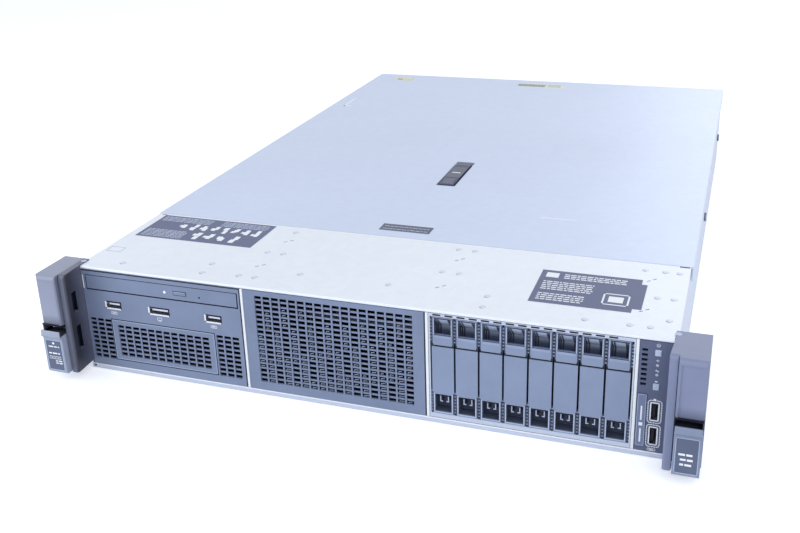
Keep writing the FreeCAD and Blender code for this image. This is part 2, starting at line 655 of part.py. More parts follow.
def make_optical_tray():
    body = new_piece("optical_tray")
    left = OPTICAL_LEFT
    right = "(%s + optical_width)" % OPTICAL_LEFT
    top = "(optical_bottom + optical_height)"
    low = "(optical_bottom + (optical_height - optical_body)/2 + 1 + fit)"
    add(body, "XZ", "0", "panel_face", [box_points(left, "optical_bottom", right, top)], "bezel")
    add(body, "XZ", "panel_face", "optical_depth - 3",
        [box_points(left + " + 2 + fit", low, right + " - 2 - fit", low + " + tray_height")], "tray")
    middle = "(%s + optical_width/2)" % OPTICAL_LEFT
    centre = "(panel_face + disc_radius + 1.5)"
    cut(body, "XY", low + " + tray_height - disc_depth", "disc_depth + 1",
        [ring_points("disc_radius", 36, middle, centre)], "disc_recess")
    add(body, "XY", low + " + tray_height - disc_depth - 1", "disc_depth + 1",
        [ring_points("spindle_radius", 12, middle, centre)], "spindle")
    button = right + " - eject_from_right - eject_width"
    cut(body, "XZ", "-1", "panel_face + 1 - 0.4",
        [box_points(button + " - 0.15", "optical_bottom + 3.6", button + " + eject_width + 0.15",
                    "optical_bottom + 3.9 + eject_height")], "button_well")


def make_eject_button():
    body = new_piece("eject_button")
    left = "%s + optical_width - eject_from_right - eject_width" % OPTICAL_LEFT
    add(body, "XZ", "-0.3", "panel_face - eject_stroke - 0.4 + 0.2",
        [box_points(left, "optical_bottom + 3.75", left + " + eject_width", "optical_bottom + 3.75 + eject_height")],
        "cap")


# ---------------------------------------------------------------- sockets

def socket_shell(body, left, low, wide, tall):
    """A sheet-metal socket shell with a plastic tongue along its longer side."""
    add(body, "XZ", "-0.1", "usb_depth", [box_points(left, low, left + " + " + wide, low + " + " + tall)], "shell")
    cut(body, "XZ", "-0.1", "usb_depth - shell",
        [box_points(left + " + shell", low + " + shell", left + " + %s - shell" % wide,
                    low + " + %s - shell" % tall)], "mouth")


def make_front_sockets():
    body = new_piece("front_sockets")
    inner = "-%s" % HALF_INNER
    for offset, wide in (("usb_left_offset", "usb_width"), ("display_offset", "display_width"),
                         ("usb_right_offset", "usb_width")):
        left = "%s + %s" % (inner, offset)
        socket_shell(body, left, "socket_level", wide, "usb_height")
        add(body, "XZ", "2", "usb_depth - 2.1 - shell/2",
            [box_points(left + " + 1.6", "socket_level + (usb_height - tongue)/2 + 0.6",
                        left + " + %s - 1.6" % wide, "socket_level + (usb_height + tongue)/2 + 0.6")], "tongue")


def make_side_sockets():
    body = new_piece("side_sockets")
    left = "(%s + divider/2 + side_usb_left)" % DIVIDER_3
    for low in ("side_usb_low", "side_usb_high"):
        socket_shell(body, left, low, "usb_height", "usb_width")
        add(body, "XZ", "2", "usb_depth - 2.1 - shell/2",
            [box_points(left + " + (usb_height - tongue)/2 - 0.6", low + " + 1.6",
                        left + " + (usb_height + tongue)/2 - 0.6", low + " + usb_width - 1.6")], "tongue")


# ---------------------------------------------------------------- drive bay

BLANK_FIRST = "((%s + %s)/2 - (blank_count*blank_pitch)/2 + (blank_pitch - blank_width)/2)" % (DIVIDER_2, DIVIDER_3)


def make_drive_cage():
    body = new_piece("drive_cage")
    left = "(%s + divider/2 + fit)" % DIVIDER_2
    right = "(%s - divider/2 - fit)" % DIVIDER_3
    add(body, "XZ", "fit", "cage_depth", [box_points(left, BAY_BOTTOM, right, BAY_TOP)], "tube")
    cut(body, "XZ", "0", "cage_depth + 1",
        [box_points(left + " + cage_sheet", "blank_bottom - fit", right + " - cage_sheet",
                    "blank_bottom + blank_height + fit")], "inside")
    wall = "%s - (blank_pitch - blank_width)/2 + blank_pitch - 0.4" % BLANK_FIRST
    first = add(body, "XZ", "6", "cage_depth - 6",
                [box_points(wall, "blank_bottom - fit - 0.1", wall + " + 0.8", "blank_bottom + blank_height + fit + 0.1")],
                "guide")
    repeat(body, first, "H_Axis", count("blank_count") - 1, "blank_pitch", "guides")


def make_drive_blank(number):
    body = new_piece("drive_blank_%d" % (number + 1), FRONT, "%s + %d*blank_pitch" % (BLANK_FIRST, number))
    top = "(blank_bottom + blank_height)"
    add(body, "XZ", "0", "blank_depth", [box_points("0", "blank_bottom", "blank_width", top)], "block")
    grip_low = "(blank_bottom + grip_bottom)"
    grip_top = "(blank_bottom + grip_bottom + grip_height)"
    cut(body, "YZ", "blank_wall", "blank_width - 2*blank_wall",
        [[("-1", grip_low), ("bar_thickness", grip_low), ("bar_thickness", grip_low + " - bar_hook"),
          ("grip_depth", grip_low + " - bar_hook"), ("grip_depth", grip_low + " + 3"),
          ("1", grip_top), ("-1", grip_top)]], "grip")
    groove = "(blank_bottom + bar_groove)"
    cut(body, "XZ", "-1", "2.6", [box_points("-1", groove, "blank_width + 1", groove + " + bar_groove_height")],
        "groove")
    window = "(blank_bottom + window_bottom)"
    cut(body, "XZ", "-1", "window_depth + 1",
        [box_points("blank_wall", window, "blank_width - blank_wall", window + " + window_height")], "window")
    middle, foot = "blank_width/2", "(%s + window_height - catch_drop)" % window
    for side in (-1, 1):
        outside = "%s + %d*catch_spread/2" % (middle, side)
        catch = [(outside, foot), ("%s - %d*catch_foot" % (outside, side), foot),
                 ("%s - %d*catch_foot" % (outside, side), foot + " + catch_wall"),
                 ("%s - %d*catch_wall" % (outside, side), foot + " + catch_wall"),
                 ("%s - %d*catch_wall" % (outside, side), foot + " + catch_height"),
                 (outside, foot + " + catch_height")]
        add(body, "XZ", "window_depth - catch_rise", "catch_rise + 1", [catch], "catch")
    cut(body, "XZ", "window_depth - 1", "key_hole_depth + 1",
        [ring_points("key_hole", 8, middle, foot + " + catch_height")], "key_hole")
    cut(body, "XZ", "grip_depth + blank_wall", "blank_depth",
        [box_points("blank_wall", "blank_bottom + blank_wall", "blank_width - blank_wall", top + " - blank_wall")],
        "hollow")


def make_backplane():
    body = new_piece("drive_backplane")
    left = "(%s + divider/2 + fit)" % DIVIDER_2
    right = "(%s - divider/2 - fit)" % DIVIDER_3
    add(body, "XZ", "cage_depth + fit", "board", [box_points(left, BAY_BOTTOM, right, BAY_TOP)], "board")
    place = "%s + blank_width/2 - 2.5" % BLANK_FIRST
    first = add(body, "XZ", "cage_depth + fit - 8", "8",
                [box_points(place, "blank_bottom + 8", place + " + 5", "blank_bottom + 42")], "connector")
    repeat(body, first, "H_Axis", count("blank_count"), "blank_pitch", "connectors")


# ---------------------------------------------------------------- control panel

CONTROL_LEFT = "(%s + divider/2)" % DIVIDER_3


def make_control_panel():
    body = new_piece("control_panel")
    left = "(%s + fit)" % CONTROL_LEFT
    right = PANEL_EDGE
    add(body, "XZ", "0", "panel_depth", [box_points(left, BAY_BOTTOM, right, BAY_TOP)], "block")
    cut(body, "XZ", "panel_face", "panel_depth",
        [box_points(left + " + 1", BAY_BOTTOM + " + 1", right + " - 1", BAY_TOP + " - 1")], "hollow")
    usb = "%s + side_usb_left" % CONTROL_LEFT
    button = "%s + button_left" % CONTROL_LEFT
    tab = "%s + tab_left" % CONTROL_LEFT
    windows = [
        box_points(usb, "side_usb_low", usb + " + usb_height", "side_usb_low + usb_width"),
        box_points(usb, "side_usb_high", usb + " + usb_height", "side_usb_high + usb_width"),
        box_points(button + " - 0.15", "power_level - 0.15", button + " + button_width + 0.15",
                   "power_level + power_height + 0.15"),
        box_points(button + " - 0.15", "locator_level - 0.15", button + " + button_width + 0.15",
                   "locator_level + locator_height + 0.15"),
        box_points(tab + " - 0.2", "tab_bottom - 0.2", tab + " + tab_width + 0.2",
                   "tab_bottom + tab_height + 0.2"),
    ]
    cut(body, "XZ", "-1", "panel_face + 2", windows, "windows")
    vent = "%s + vent_left" % CONTROL_LEFT
    first = cut(body, "XZ", "-1", "panel_face + 2",
                [box_points(vent, "vent_bottom", vent + " + vent_width", "vent_bottom + vent_height")], "vent")
    repeat(body, first, "V_Axis", 8, "vent_pitch", "vents")


def make_button(name, level, height):
    body = new_piece(name)
    left = "%s + button_left" % CONTROL_LEFT
    add(body, "XZ", "-0.6", "button_length",
        [box_points(left, level, left + " + button_width", "%s + %s" % (level, height))], "cap")
    round_edges(body, "0.5", lambda e: near(e.BoundBox.YMin, -0.6) and near(e.BoundBox.YMax, -0.6),
                "PartDesign::Chamfer", "Size")


def make_pull_tab():
    body = new_piece("pull_tab")
    left = "(%s + tab_left)" % CONTROL_LEFT
    middle = "(%s + tab_left + tab_width/2)" % CONTROL_LEFT
    add(body, "XZ", "-0.8", "panel_face + 0.8",
        [box_points(left, "tab_bottom", left + " + tab_width", "tab_bottom + tab_height")], "grip")
    add(body, "XZ", "panel_face", "tab_length",
        [box_points(middle + " - tab_blade/2", "tab_bottom + 2", middle + " + tab_blade/2",
                    "tab_bottom + tab_height - 2")], "blade")


# ---------------------------------------------------------------- ears

def mirrored(side, points):
    """The outline on the right (1) or left (-1) side: the first coordinate is across."""
    return [("%d*(%s)" % (side, across), other) for across, other in points]


def along_x(side, low, high):
    """Start and length of a run across, from low to high outwards on one side."""
    start = low if side > 0 else "-(%s)" % high
    return start, "(%s) - (%s)" % (high, low)


def make_ear(name, side):
    body = new_piece(name)
    outer = "rack_width/2"
    groove = "(ear_inner + ear_ridge)"
    plan = [("ear_inner + ear_draft", "ear_back"), ("ear_inner + ear_draft", "0"),
            ("ear_inner", "1.2 - ridge_front"), ("ear_inner + 1.2", "-ridge_front"),
            (groove + " - ear_groove/2", "-ridge_front"), (groove, "2 - ridge_front"),
            (groove + " + ear_groove/2", "2 - ridge_front"), (groove + " + ear_groove/2", "1.2 - ear_front"),
            (groove + " + ear_groove/2 + 1.2", "-ear_front"), (outer + " - 2.2", "-ear_front"),
            (outer, "2.2 - ear_front"), (outer, "ear_back")]
    add(body, "XY", "ear_bottom", "ear_top - ear_bottom", [mirrored(side, plan)], "housing")
    start, length = along_x(side, "ear_inner - 1", groove)
    round_corner(body, "YZ", start, length, "-ridge_front", "ear_top", "ear_round", "ridge_rounding")
    start, length = along_x(side, groove, outer + " + 1")
    round_corner(body, "YZ", start, length, "-ear_front", "ear_top", "ear_round", "cover_rounding")
    inset_left = groove + " + ear_groove/2 + inset_side"
    start, length = along_x(side, inset_left, outer + " + 1")
    cut(body, "YZ", start, length,
        [box_points("-ear_front - 1", "recess_bottom", "inset_depth - ear_front", "ear_top - inset_top")],
        "sunk_face")
    # room of the lever with a finger scoop over it, and a pocket for the rack screw behind it
    start, length = along_x(side, groove + " + ear_groove/2 - 0.2", outer + " + 1")
    top = "(recess_bottom + recess_height)"
    back = "(lever_room - ear_front)"
    room = [("-ear_front - 4", "ear_bottom - 1"), (back, "ear_bottom - 1"),
            (back, "recess_bottom + recess_back"), ("-ear_front", top), ("-ear_front - 4", top)]
    cut(body, "YZ", start, length, [room], "lever_room")
    cut(body, "XZ", back + " - 1", "ear_back - ear_flange - %s + 1" % back,
        [ring_points("screw_pocket", 8, "%d*screw_centre" % side, "screw_level")], "screw_pocket")
    # hollow of the cover from behind
    start, length = along_x(side, "ear_inner + ear_ridge + ear_wall", outer + " - ear_wall")
    cut(body, "YZ", start, length,
        [box_points("ear_wall + 2 - ear_front", top + " + 3 + ear_wall", "ear_back + 1",
                    "ear_top - ear_wall - 1")], "hollow")
    notches = [box_points("-15.8", "notch_low", "notch_width - 15.8", "notch_low + notch_low_height"),
               box_points("-15.8", "notch_high", "notch_width - 15.8", "notch_high + notch_high_height")]
    start, length = along_x(side, "ear_inner - 1", "ear_inner + notch_depth")
    cut(body, "YZ", start, length, notches, "notches")
    cut(body, "XZ", "ear_back - ear_flange - 1", "ear_flange + 2",
        [ring_points("screw_radius + screw_neck + pin_play", 12, "%d*screw_centre" % side, "screw_level")],
        "screw_hole")
    start, length = along_x(side, groove + " - 3", groove + " + 1")
    cut(body, "YZ", start, length, [ring_points("pin_radius/cos(15)", 12, "-pin_forward", "pin_level")],
        "pin_hole")


def make_lever(name, side):
    body = new_piece(name)
    low = "ear_inner + ear_ridge + ear_groove/2 + fit"
    high = "rack_width/2 - 0.4"
    top = "recess_bottom"
    profile = [("1.5 - lever_front", "lever_bottom"), ("-lever_front", "lever_bottom + 2"),
               ("-lever_front", "recess_bottom - 3"), ("-lever_front - lever_lip", "recess_bottom - 1.2"),
               ("-lever_front - lever_lip", top), ("lever_depth - lever_front", top),
               ("lever_depth - lever_front", "pin_level + 6"), ("3 - pin_forward", "lever_bottom + 1"),
               ("2 - pin_forward", "lever_bottom")]
    start, length = along_x(side, low, high)
    add(body, "YZ", start, length, [profile], "block")
    start, length = along_x(side, low + " + lever_wall", high + " - lever_wall")
    hollow = [("lever_wall - lever_front", "pin_level + 4"), ("lever_wall - lever_front", "recess_bottom - lever_wall"),
              ("lever_depth - lever_front + 1", "recess_bottom - lever_wall"),
              ("lever_depth - lever_front + 1", "pin_level + 4")]
    cut(body, "YZ", start, length, [hollow], "hollow")
    start, length = along_x(side, "ear_inner", "rack_width/2 + 1")
    cut(body, "YZ", start, length, [("-pin_forward", "pin_level", "pin_radius + pin_play")], "pin_hole")


def make_lever_pins():
    body = new_piece("lever_pins")
    for side in (-1, 1):
        start, length = along_x(side, "ear_inner + ear_ridge - 3", "rack_width/2 - 1")
        add(body, "YZ", start, length, [("-pin_forward", "pin_level", "pin_radius")], "pin")


def make_rack_screws():
    body = new_piece("rack_screws")
    for side in (-1, 1):
        centre = "%d*screw_centre" % side
        add(body, "XZ", "ear_back - ear_flange", "ear_flange",
            [ring_points("screw_radius + screw_neck", 12, centre, "screw_level")], "neck")
        add(body, "XZ", "ear_back", "screw_reach", [(centre, "screw_level", "screw_radius")], "shank")
        add(body, "XZ", "ear_back - ear_flange - screw_head_length", "screw_head_length",
            [ring_points("screw_head", 6, centre, "screw_level")], "head")


# ---------------------------------------------------------------- fans

FAN_LEFT = "(-(fan_count*fan_pitch)/2)"
FAN_FLOOR = "(steel + 1.6)"


def make_fan_cage():
    body = new_piece("fan_cage")
    add(body, "XY", "steel", "1.6",
        [box_points(FAN_LEFT + " - 1", "fan_front", "1 - " + FAN_LEFT, "fan_front + fan_cage_depth")], "floor")
    first = add(body, "YZ", FAN_LEFT + " - 0.6", "1.2",
                [[("fan_front", FAN_FLOOR), ("fan_front + fan_cage_depth", FAN_FLOOR),
                  ("fan_front + fan_cage_depth", "fan_size + 8"), ("fan_front + fan_cage_depth - 10", "fan_size + 14"),
                  ("fan_front + 10", "fan_size + 14"), ("fan_front", "fan_size + 8")]], "web")
    doc.recompute()
    pattern = repeat(body, first, "N_Axis", count("fan_count") + 1, "fan_pitch", "webs")
    return pattern


def make_fan(number):
    place = "%s + fan_pitch*%g" % (FAN_LEFT, number + 0.5)
    body = new_piece("fan_%d" % (number + 1), FRONT + " + fan_front + (fan_cage_depth - fan_depth)/2", place)
    body.setExpression("Placement.Base.z", bound(FAN_FLOOR + " + fan_size/2"))
    half = "fan_size/2"
    add(body, "XZ", "0", "fan_depth", [box_points("-" + half, "-" + half, half, half)], "frame")
    cut(body, "XZ", "-1", "fan_depth + 2", [ring_points("fan_bore", 16)], "air_way")
    add(body, "XZ", "fan_depth - 4", "4", [ring_points("hub_radius", 12)], "motor_seat")
    add(body, "XZ", "fan_depth - 4", "4",
        [box_points("-1.2", "hub_radius - 2", "1.2", "fan_size/2 - 0.5"),
         box_points("-1.2", "0.5 - fan_size/2", "1.2", "2 - hub_radius")], "struts")
    add(body, "XZ", "fan_depth - 4", "4",
        [box_points("hub_radius - 2", "-1.2", "fan_size/2 - 0.5", "1.2"),
         box_points("0.5 - fan_size/2", "-1.2", "2 - hub_radius", "1.2")], "struts")
    add(body, "XZ", "fan_depth/2 - 1.5", "3",
        [box_points("-grip_size", half, "grip_size", half + " + grip_size")], "grip")


def make_rotor(number):
    place = "%s + fan_pitch*%g" % (FAN_LEFT, number + 0.5)
    body = new_piece("fan_rotor_%d" % (number + 1),
                     FRONT + " + fan_front + (fan_cage_depth - fan_depth)/2", place)
    body.setExpression("Placement.Base.z", bound(FAN_FLOOR + " + fan_size/2"))
    front = "(fan_depth - 4 - fit - blade_length)"
    add(body, "XZ", front, "blade_length", [ring_points("hub_radius - 1", 10)], "hub")
    add(body, "XZ", front + " - nose_length", "nose_length + 1", [("0", "0", "nose_radius")], "nose")
    slant = "blade_slant/2"
    first = add(body, "YZ", "0", "blade_reach",
                [[(front + " + 1", "-%s - blade_thickness" % slant), (front + " + 1", "-%s" % slant),
                  (front + " + blade_length - 1", slant), (front + " + blade_length - 1", "%s - blade_thickness" % slant)]],
                "blade")
    pattern = body.newObject("PartDesign::PolarPattern", "blades")
    pattern.Originals = [first]
    pattern.Axis = (origin_plane(body, "Y_Axis"), [""])
    pattern.Angle = 360
    pattern.Occurrences = 5
    body.Tip = pattern


# ---------------------------------------------------------------- boards

BOARD_LEVEL = "(steel + standoff)"
SUPPLY_RIGHT = "(supply_left + supply_pitch + supply_width + 4 - %s)" % HALF_INNER
SUPPLY_FRONT = "(chassis_depth - supply_length - 14)"


def make_main_board():
    body = new_piece("main_board")
    back = "(chassis_depth - steel - board_back)"
    outline = [("-board_half_width", "board_front"), ("board_half_width", "board_front"),
               ("board_half_width", back), (SUPPLY_RIGHT, back), (SUPPLY_RIGHT, SUPPLY_FRONT),
               ("-board_half_width", SUPPLY_FRONT)]
    add(body, "XY", BOARD_LEVEL, "board", [outline], "board")
    feet = [("-board_half_width + 10", "board_front + 10"), ("board_half_width - 10", "board_front + 10"),
            ("-board_half_width + 10", "%s - 10" % SUPPLY_FRONT), ("board_half_width - 10", "%s - 10" % back),
            ("%s + 10" % SUPPLY_RIGHT, "%s - 10" % back)]
    for across, along in feet:
        corners = ["standoff_size", "standoff_size/2", "-standoff_size/2", "-standoff_size",
                   "-standoff_size/2", "standoff_size/2"]
        rises = ["0", "standoff_size*0.866", "standoff_size*0.866", "0", "-standoff_size*0.866",
                 "-standoff_size*0.866"]
        outline = [("%s + (%s)" % (across, a), "%s + (%s)" % (along, b)) for a, b in zip(corners, rises)]
        add(body, "XY", "steel", "standoff", [outline], "standoff")


def make_heat_sink(name, side):
    body = new_piece(name, FRONT, "%d*sink_centre" % side)
    base = "(steel + standoff + board)"
    fins = count("fin_count")
    pitch = "((socket_width - fin)/%d)" % (fins - 1)
    comb = [("-socket_width/2", base), ("socket_width/2", base)]
    for k in reversed(range(fins)):
        left = "(-socket_width/2 + %d*%s)" % (k, pitch)
        comb.append((left + " + fin", base + " + sink_base") if k < fins - 1 else (left + " + fin", base + " + sink_height"))
        if k < fins - 1:
            comb.append((left + " + fin", base + " + sink_height"))
        comb.append((left, base + " + sink_height"))
        if k > 0:
            comb.append((left, base + " + sink_base"))
    add(body, "XZ", "sink_front", "sink_depth", [comb], "fins")


def make_memory():
    body = new_piece("memory_modules")
    low = "(steel + standoff + board)"
    groups = ["(-board_half_width + 8)", "(socket_width/2 + 6 - sink_centre)",
              "(sink_centre - socket_width/2 - 6 - module_thickness - 3*module_pitch)",
              "(board_half_width - 8 - module_thickness - 3*module_pitch)"]
    cards = [box_points("%s + %d*module_pitch" % (left, k), low,
                        "%s + %d*module_pitch + module_thickness" % (left, k), low + " + module_height")
             for left in groups for k in range(4)]
    add(body, "XZ", "module_front", "module_length", cards, "cards")


# ---------------------------------------------------------------- rear

def supply_left(number):
    return "(supply_left + %d*supply_pitch - %s)" % (number, HALF_INNER)


SUPPLY_FLOOR = "(steel + fit)"
CARD_BOTTOM = "(riser_bottom + 2)"


def riser_left(number):
    return "(riser_first + %d*(riser_width + riser_gap))" % number


def make_rear_panel():
    body = new_piece("rear_panel", REAR)
    add(body, "XZ", "-steel", "steel",
        [box_points("-" + HALF_INNER, "steel", HALF_INNER, FLANGE_UNDER)], "sheet")
    supplies = box_points(supply_left(0) + " - fit", SUPPLY_FLOOR + " - fit/2",
                          supply_left(1) + " + supply_width + fit", SUPPLY_FLOOR + " + supply_height + fit")
    windows = [supplies]
    for number in range(2):
        left = riser_left(number) + " + (riser_width - card_opening)/2"
        windows += [box_points(left, "%s + %d*card_pitch" % (CARD_BOTTOM, k), left + " + card_opening",
                               "%s + %d*card_pitch + card_slot" % (CARD_BOTTOM, k)) for k in range(3)]
    windows += [box_points(left, low, left + " + " + wide, low + " + " + tall)
                for left, low, wide, tall in REAR_SOCKETS]
    cut(body, "XZ", "-steel - 1", "steel + 2", windows, "windows")


REAR_LOW = "(steel + standoff + board)"
REAR_SOCKETS = [("(-68)", REAR_LOW, "31", "13"), ("(-30)", REAR_LOW, "13", "6"), ("(-30)", REAR_LOW + " + 7.5", "13", "6"),
                ("(-10)", REAR_LOW, "16", "13"), ("16", REAR_LOW, "16", "13"), ("34", REAR_LOW, "16", "13"),
                ("52", REAR_LOW, "16", "13"), ("70", REAR_LOW, "16", "13")]


def make_rear_sockets():
    body = new_piece("rear_sockets", REAR)
    blocks = [box_points(left + " + 0.15", low, left + " + %s - 0.15" % wide, low + " + %s - 0.15" % tall)
              for left, low, wide, tall in REAR_SOCKETS]
    add(body, "XZ", "-24", "23.6", blocks, "shells")
    mouths = [box_points(left + " + 1", low + " + 1", left + " + %s - 1" % wide, low + " + %s - 1" % tall)
              for left, low, wide, tall in REAR_SOCKETS]
    cut(body, "XZ", "-10", "11", mouths, "mouths")


def make_riser(number):
    body = new_piece("riser_cage_%d" % (number + 1), REAR, riser_left(number))
    top = "(%s - 1)" % FLANGE_UNDER
    profile = [("0", top), ("0", top + " - 10"), ("1", top + " - 10"), ("1", top + " - 1"),
               ("riser_width - 1", top + " - 1"), ("riser_width - 1", "riser_bottom"),
               ("riser_width", "riser_bottom"), ("riser_width", top)]
    add(body, "XZ", "-riser_depth - steel - fit", "riser_depth", [profile], "folded_sheet")
    add(body, "XZ", "-steel - fit - 1", "1",
        [box_points("0.5", "riser_bottom", "riser_width - 0.5", top + " - 0.5")], "bracket")
    board = "riser_width - 1 - 9"
    add(body, "YZ", board, "board",
        [box_points("-riser_depth - steel + 10", REAR_LOW, "-60", top + " - 8")], "riser_board")
    ties = [box_points("-riser_depth - steel + 20", "riser_bottom + 20", "-riser_depth - steel + 26", "riser_bottom + 26"),
            box_points("-80", "riser_bottom + 20", "-74", "riser_bottom + 26")]
    add(body, "YZ", board, "9.5", ties, "ties")
    slots = [box_points("-170", "%s + %d*card_pitch + 4" % (CARD_BOTTOM, k), "-84",
                        "%s + %d*card_pitch + 11" % (CARD_BOTTOM, k)) for k in range(3)]
    add(body, "YZ", board + " - 11", "11.2", slots, "connectors")


def make_supply(number):
    body = new_piece("power_supply_%d" % (number + 1), REAR, supply_left(number))
    low = SUPPLY_FLOOR
    add(body, "XZ", "-supply_length", "supply_length",
        [box_points("0", low, "supply_width", low + " + supply_height")], "case")
    inlet = box_points("5", low + " + 11", "5 + inlet_width", low + " + 11 + inlet_height")
    cut(body, "XZ", "-inlet_depth", "inlet_depth + 1", [inlet], "inlet")
    blades = [box_points("5 + inlet_width/2 - 1", low + " + 21", "5 + inlet_width/2 + 1", low + " + 25"),
              box_points("5 + inlet_width/2 - 8", low + " + 15", "5 + inlet_width/2 - 6", low + " + 19"),
              box_points("5 + inlet_width/2 + 6", low + " + 15", "5 + inlet_width/2 + 8", low + " + 19")]
    add(body, "XZ", "-inlet_depth - 0.5", "inlet_depth - 1.5", blades, "blades")
    lugs = [box_points("supply_width - supply_latch_right - supply_latch_width - fit - supply_lug",
                       low + " + supply_height - 7", "supply_width - supply_latch_right - supply_latch_width - fit",
                       low + " + supply_height - 2.5"),
            box_points("supply_width - supply_latch_right + fit", low + " + supply_height - 7",
                       "supply_width - supply_latch_right + fit + supply_lug", low + " + supply_height - 2.5")]
    add(body, "XZ", "-0.5", "supply_lug_reach + 0.5", lugs, "lugs")
    left = "(supply_width - handle_width - 6)"
    right = "(supply_width - 6)"
    loop = [(left, "-0.5"), (left, "handle_reach - 4"), (left + " + 4", "handle_reach"),
            (right + " - 4", "handle_reach"), (right, "handle_reach - 4"), (right, "-0.5"),
            (right + " - handle_bar", "-0.5"), (right + " - handle_bar", "handle_reach - handle_bar - 2"),
            (right + " - handle_bar - 2", "handle_reach - handle_bar"),
            (left + " + handle_bar + 2", "handle_reach - handle_bar"),
            (left + " + handle_bar", "handle_reach - handle_bar - 2"), (left + " + handle_bar", "-0.5")]
    add(body, "XY", low + " + 12", "14", [loop], "handle")


def make_supply_latch(number):
    body = new_piece("supply_latch_%d" % (number + 1), REAR, supply_left(number))
    pivot = SUPPLY_FLOOR + " + supply_pivot"
    start = "supply_width - supply_latch_right - supply_latch_width"
    add(body, "YZ", start, "supply_latch_width", [("fit + supply_knuckle", pivot, "supply_knuckle")], "knuckle")
    profile = [("fit + supply_knuckle", pivot + " - supply_knuckle"), ("supply_latch_reach", pivot + " - 4.2"),
               ("supply_latch_reach + 1", pivot + " - 3.2"), ("supply_latch_reach + 1", pivot + " - 1.2"),
               ("fit + 2*supply_knuckle", pivot + " + 1"), ("fit + supply_knuckle", pivot + " + supply_knuckle")]
    add(body, "YZ", start, "supply_latch_width", [profile], "lever")


# ---------------------------------------------------------------- assembly

def build():
    make_chassis_pan()
    make_front_cover()
    make_dividers()
    make_rear_panel()
    make_access_panel()
    make_panel_latch()
    make_latch_pin()
    make_media_bezel()
    make_bay_insert()
    make_grille_panel()
    make_optical_drive()
    make_optical_tray()
    make_eject_button()
    make_front_sockets()
    make_drive_cage()
    for number in range(count("blank_count")):
        make_drive_blank(number)
    make_backplane()
    make_control_panel()
    make_button("power_button", "power_level", "power_height")
    make_button("locator_button", "locator_level", "locator_height")
    make_pull_tab()
    make_side_sockets()
    for name, side in (("left", -1), ("right", 1)):
        make_ear("ear_" + name, side)
        make_lever("release_lever_" + name, side)
    make_lever_pins()
    make_rack_screws()
    make_fan_cage()
    for number in range(count("fan_count")):
        make_fan(number)
        make_rotor(number)
    make_main_board()
    make_heat_sink("heat_sink_1", -1)
    make_heat_sink("heat_sink_2", 1)
    make_memory()
    for number in range(2):
        make_riser(number)
        make_supply(number)
        make_supply_latch(number)
    make_rear_sockets()


def check():
    """Stops if any object of the document failed or any piece is not a valid solid."""
    bad = [item.Label for item in doc.Objects if {"Invalid", "Error"} & set(item.State)]
    bad += [piece.Label for piece in PIECES if piece.Shape.isNull() or not piece.Shape.isValid()
            or not piece.Shape.Solids]
    if bad:
        raise RuntimeError("failed: " + ", ".join(bad))


def export():
    os.makedirs("parts", exist_ok=True)
    for piece in PIECES:
        piece.Shape.exportStep(os.path.join("parts", piece.Label + ".step"))


build()
doc.recompute()
check()
export()
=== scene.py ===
import json
import math

import bmesh
import bpy
from mathutils import Euler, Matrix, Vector


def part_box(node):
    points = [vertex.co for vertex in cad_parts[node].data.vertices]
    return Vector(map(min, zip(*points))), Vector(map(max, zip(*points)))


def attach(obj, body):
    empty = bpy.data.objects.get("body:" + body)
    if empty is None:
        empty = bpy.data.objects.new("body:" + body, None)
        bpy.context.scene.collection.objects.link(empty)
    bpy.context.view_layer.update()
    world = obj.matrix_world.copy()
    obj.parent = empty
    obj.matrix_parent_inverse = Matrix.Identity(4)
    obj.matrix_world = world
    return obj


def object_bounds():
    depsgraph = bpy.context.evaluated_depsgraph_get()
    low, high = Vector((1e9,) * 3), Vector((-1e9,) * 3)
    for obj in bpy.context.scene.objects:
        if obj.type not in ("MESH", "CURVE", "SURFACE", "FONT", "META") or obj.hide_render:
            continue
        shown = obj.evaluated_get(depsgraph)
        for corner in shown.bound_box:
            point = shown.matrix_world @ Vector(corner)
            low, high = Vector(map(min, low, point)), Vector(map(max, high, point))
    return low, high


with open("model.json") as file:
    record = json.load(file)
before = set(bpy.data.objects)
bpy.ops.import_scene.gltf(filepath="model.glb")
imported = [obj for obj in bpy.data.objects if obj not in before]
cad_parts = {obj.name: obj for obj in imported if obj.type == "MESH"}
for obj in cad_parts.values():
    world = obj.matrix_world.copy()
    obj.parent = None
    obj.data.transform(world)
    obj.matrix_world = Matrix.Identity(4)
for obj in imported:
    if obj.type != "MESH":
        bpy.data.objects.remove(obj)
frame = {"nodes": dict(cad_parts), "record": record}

# Looks of a rack server, two rack units high, in the frame of the CAD model.  Shapes are
# written in mm, and become metres where their mesh is made.
MM = 0.001
cad_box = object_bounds()


# ---------------------------------------------------------------- materials

WHITE = (1, 1, 1, 1)
NOTHING = (0, 0, 0, 1)


def srgb(red, green, blue):
    """A colour as written for a screen, 0 to 255, in the renderer's linear terms."""
    def line(value):
        value /= 255.0
        return value / 12.92 if value <= 0.04045 else ((value + 0.055) / 1.055) ** 2.4
    return (line(red), line(green), line(blue), 1.0)


def shade(colour, factor):
    return tuple(min(1.0, channel * factor) for channel in colour[:3]) + (1.0,)


def add_node(tree, kind, values=None, links=None):
    """A new shader node, with its sockets' own values and the links into its sockets."""
    node = tree.nodes.new("ShaderNode" + kind)
    for socket, value in (values or {}).items():
        node.inputs[socket].default_value = value
    for socket, source in (links or {}).items():
        tree.links.new(source, node.inputs[socket])
    return node


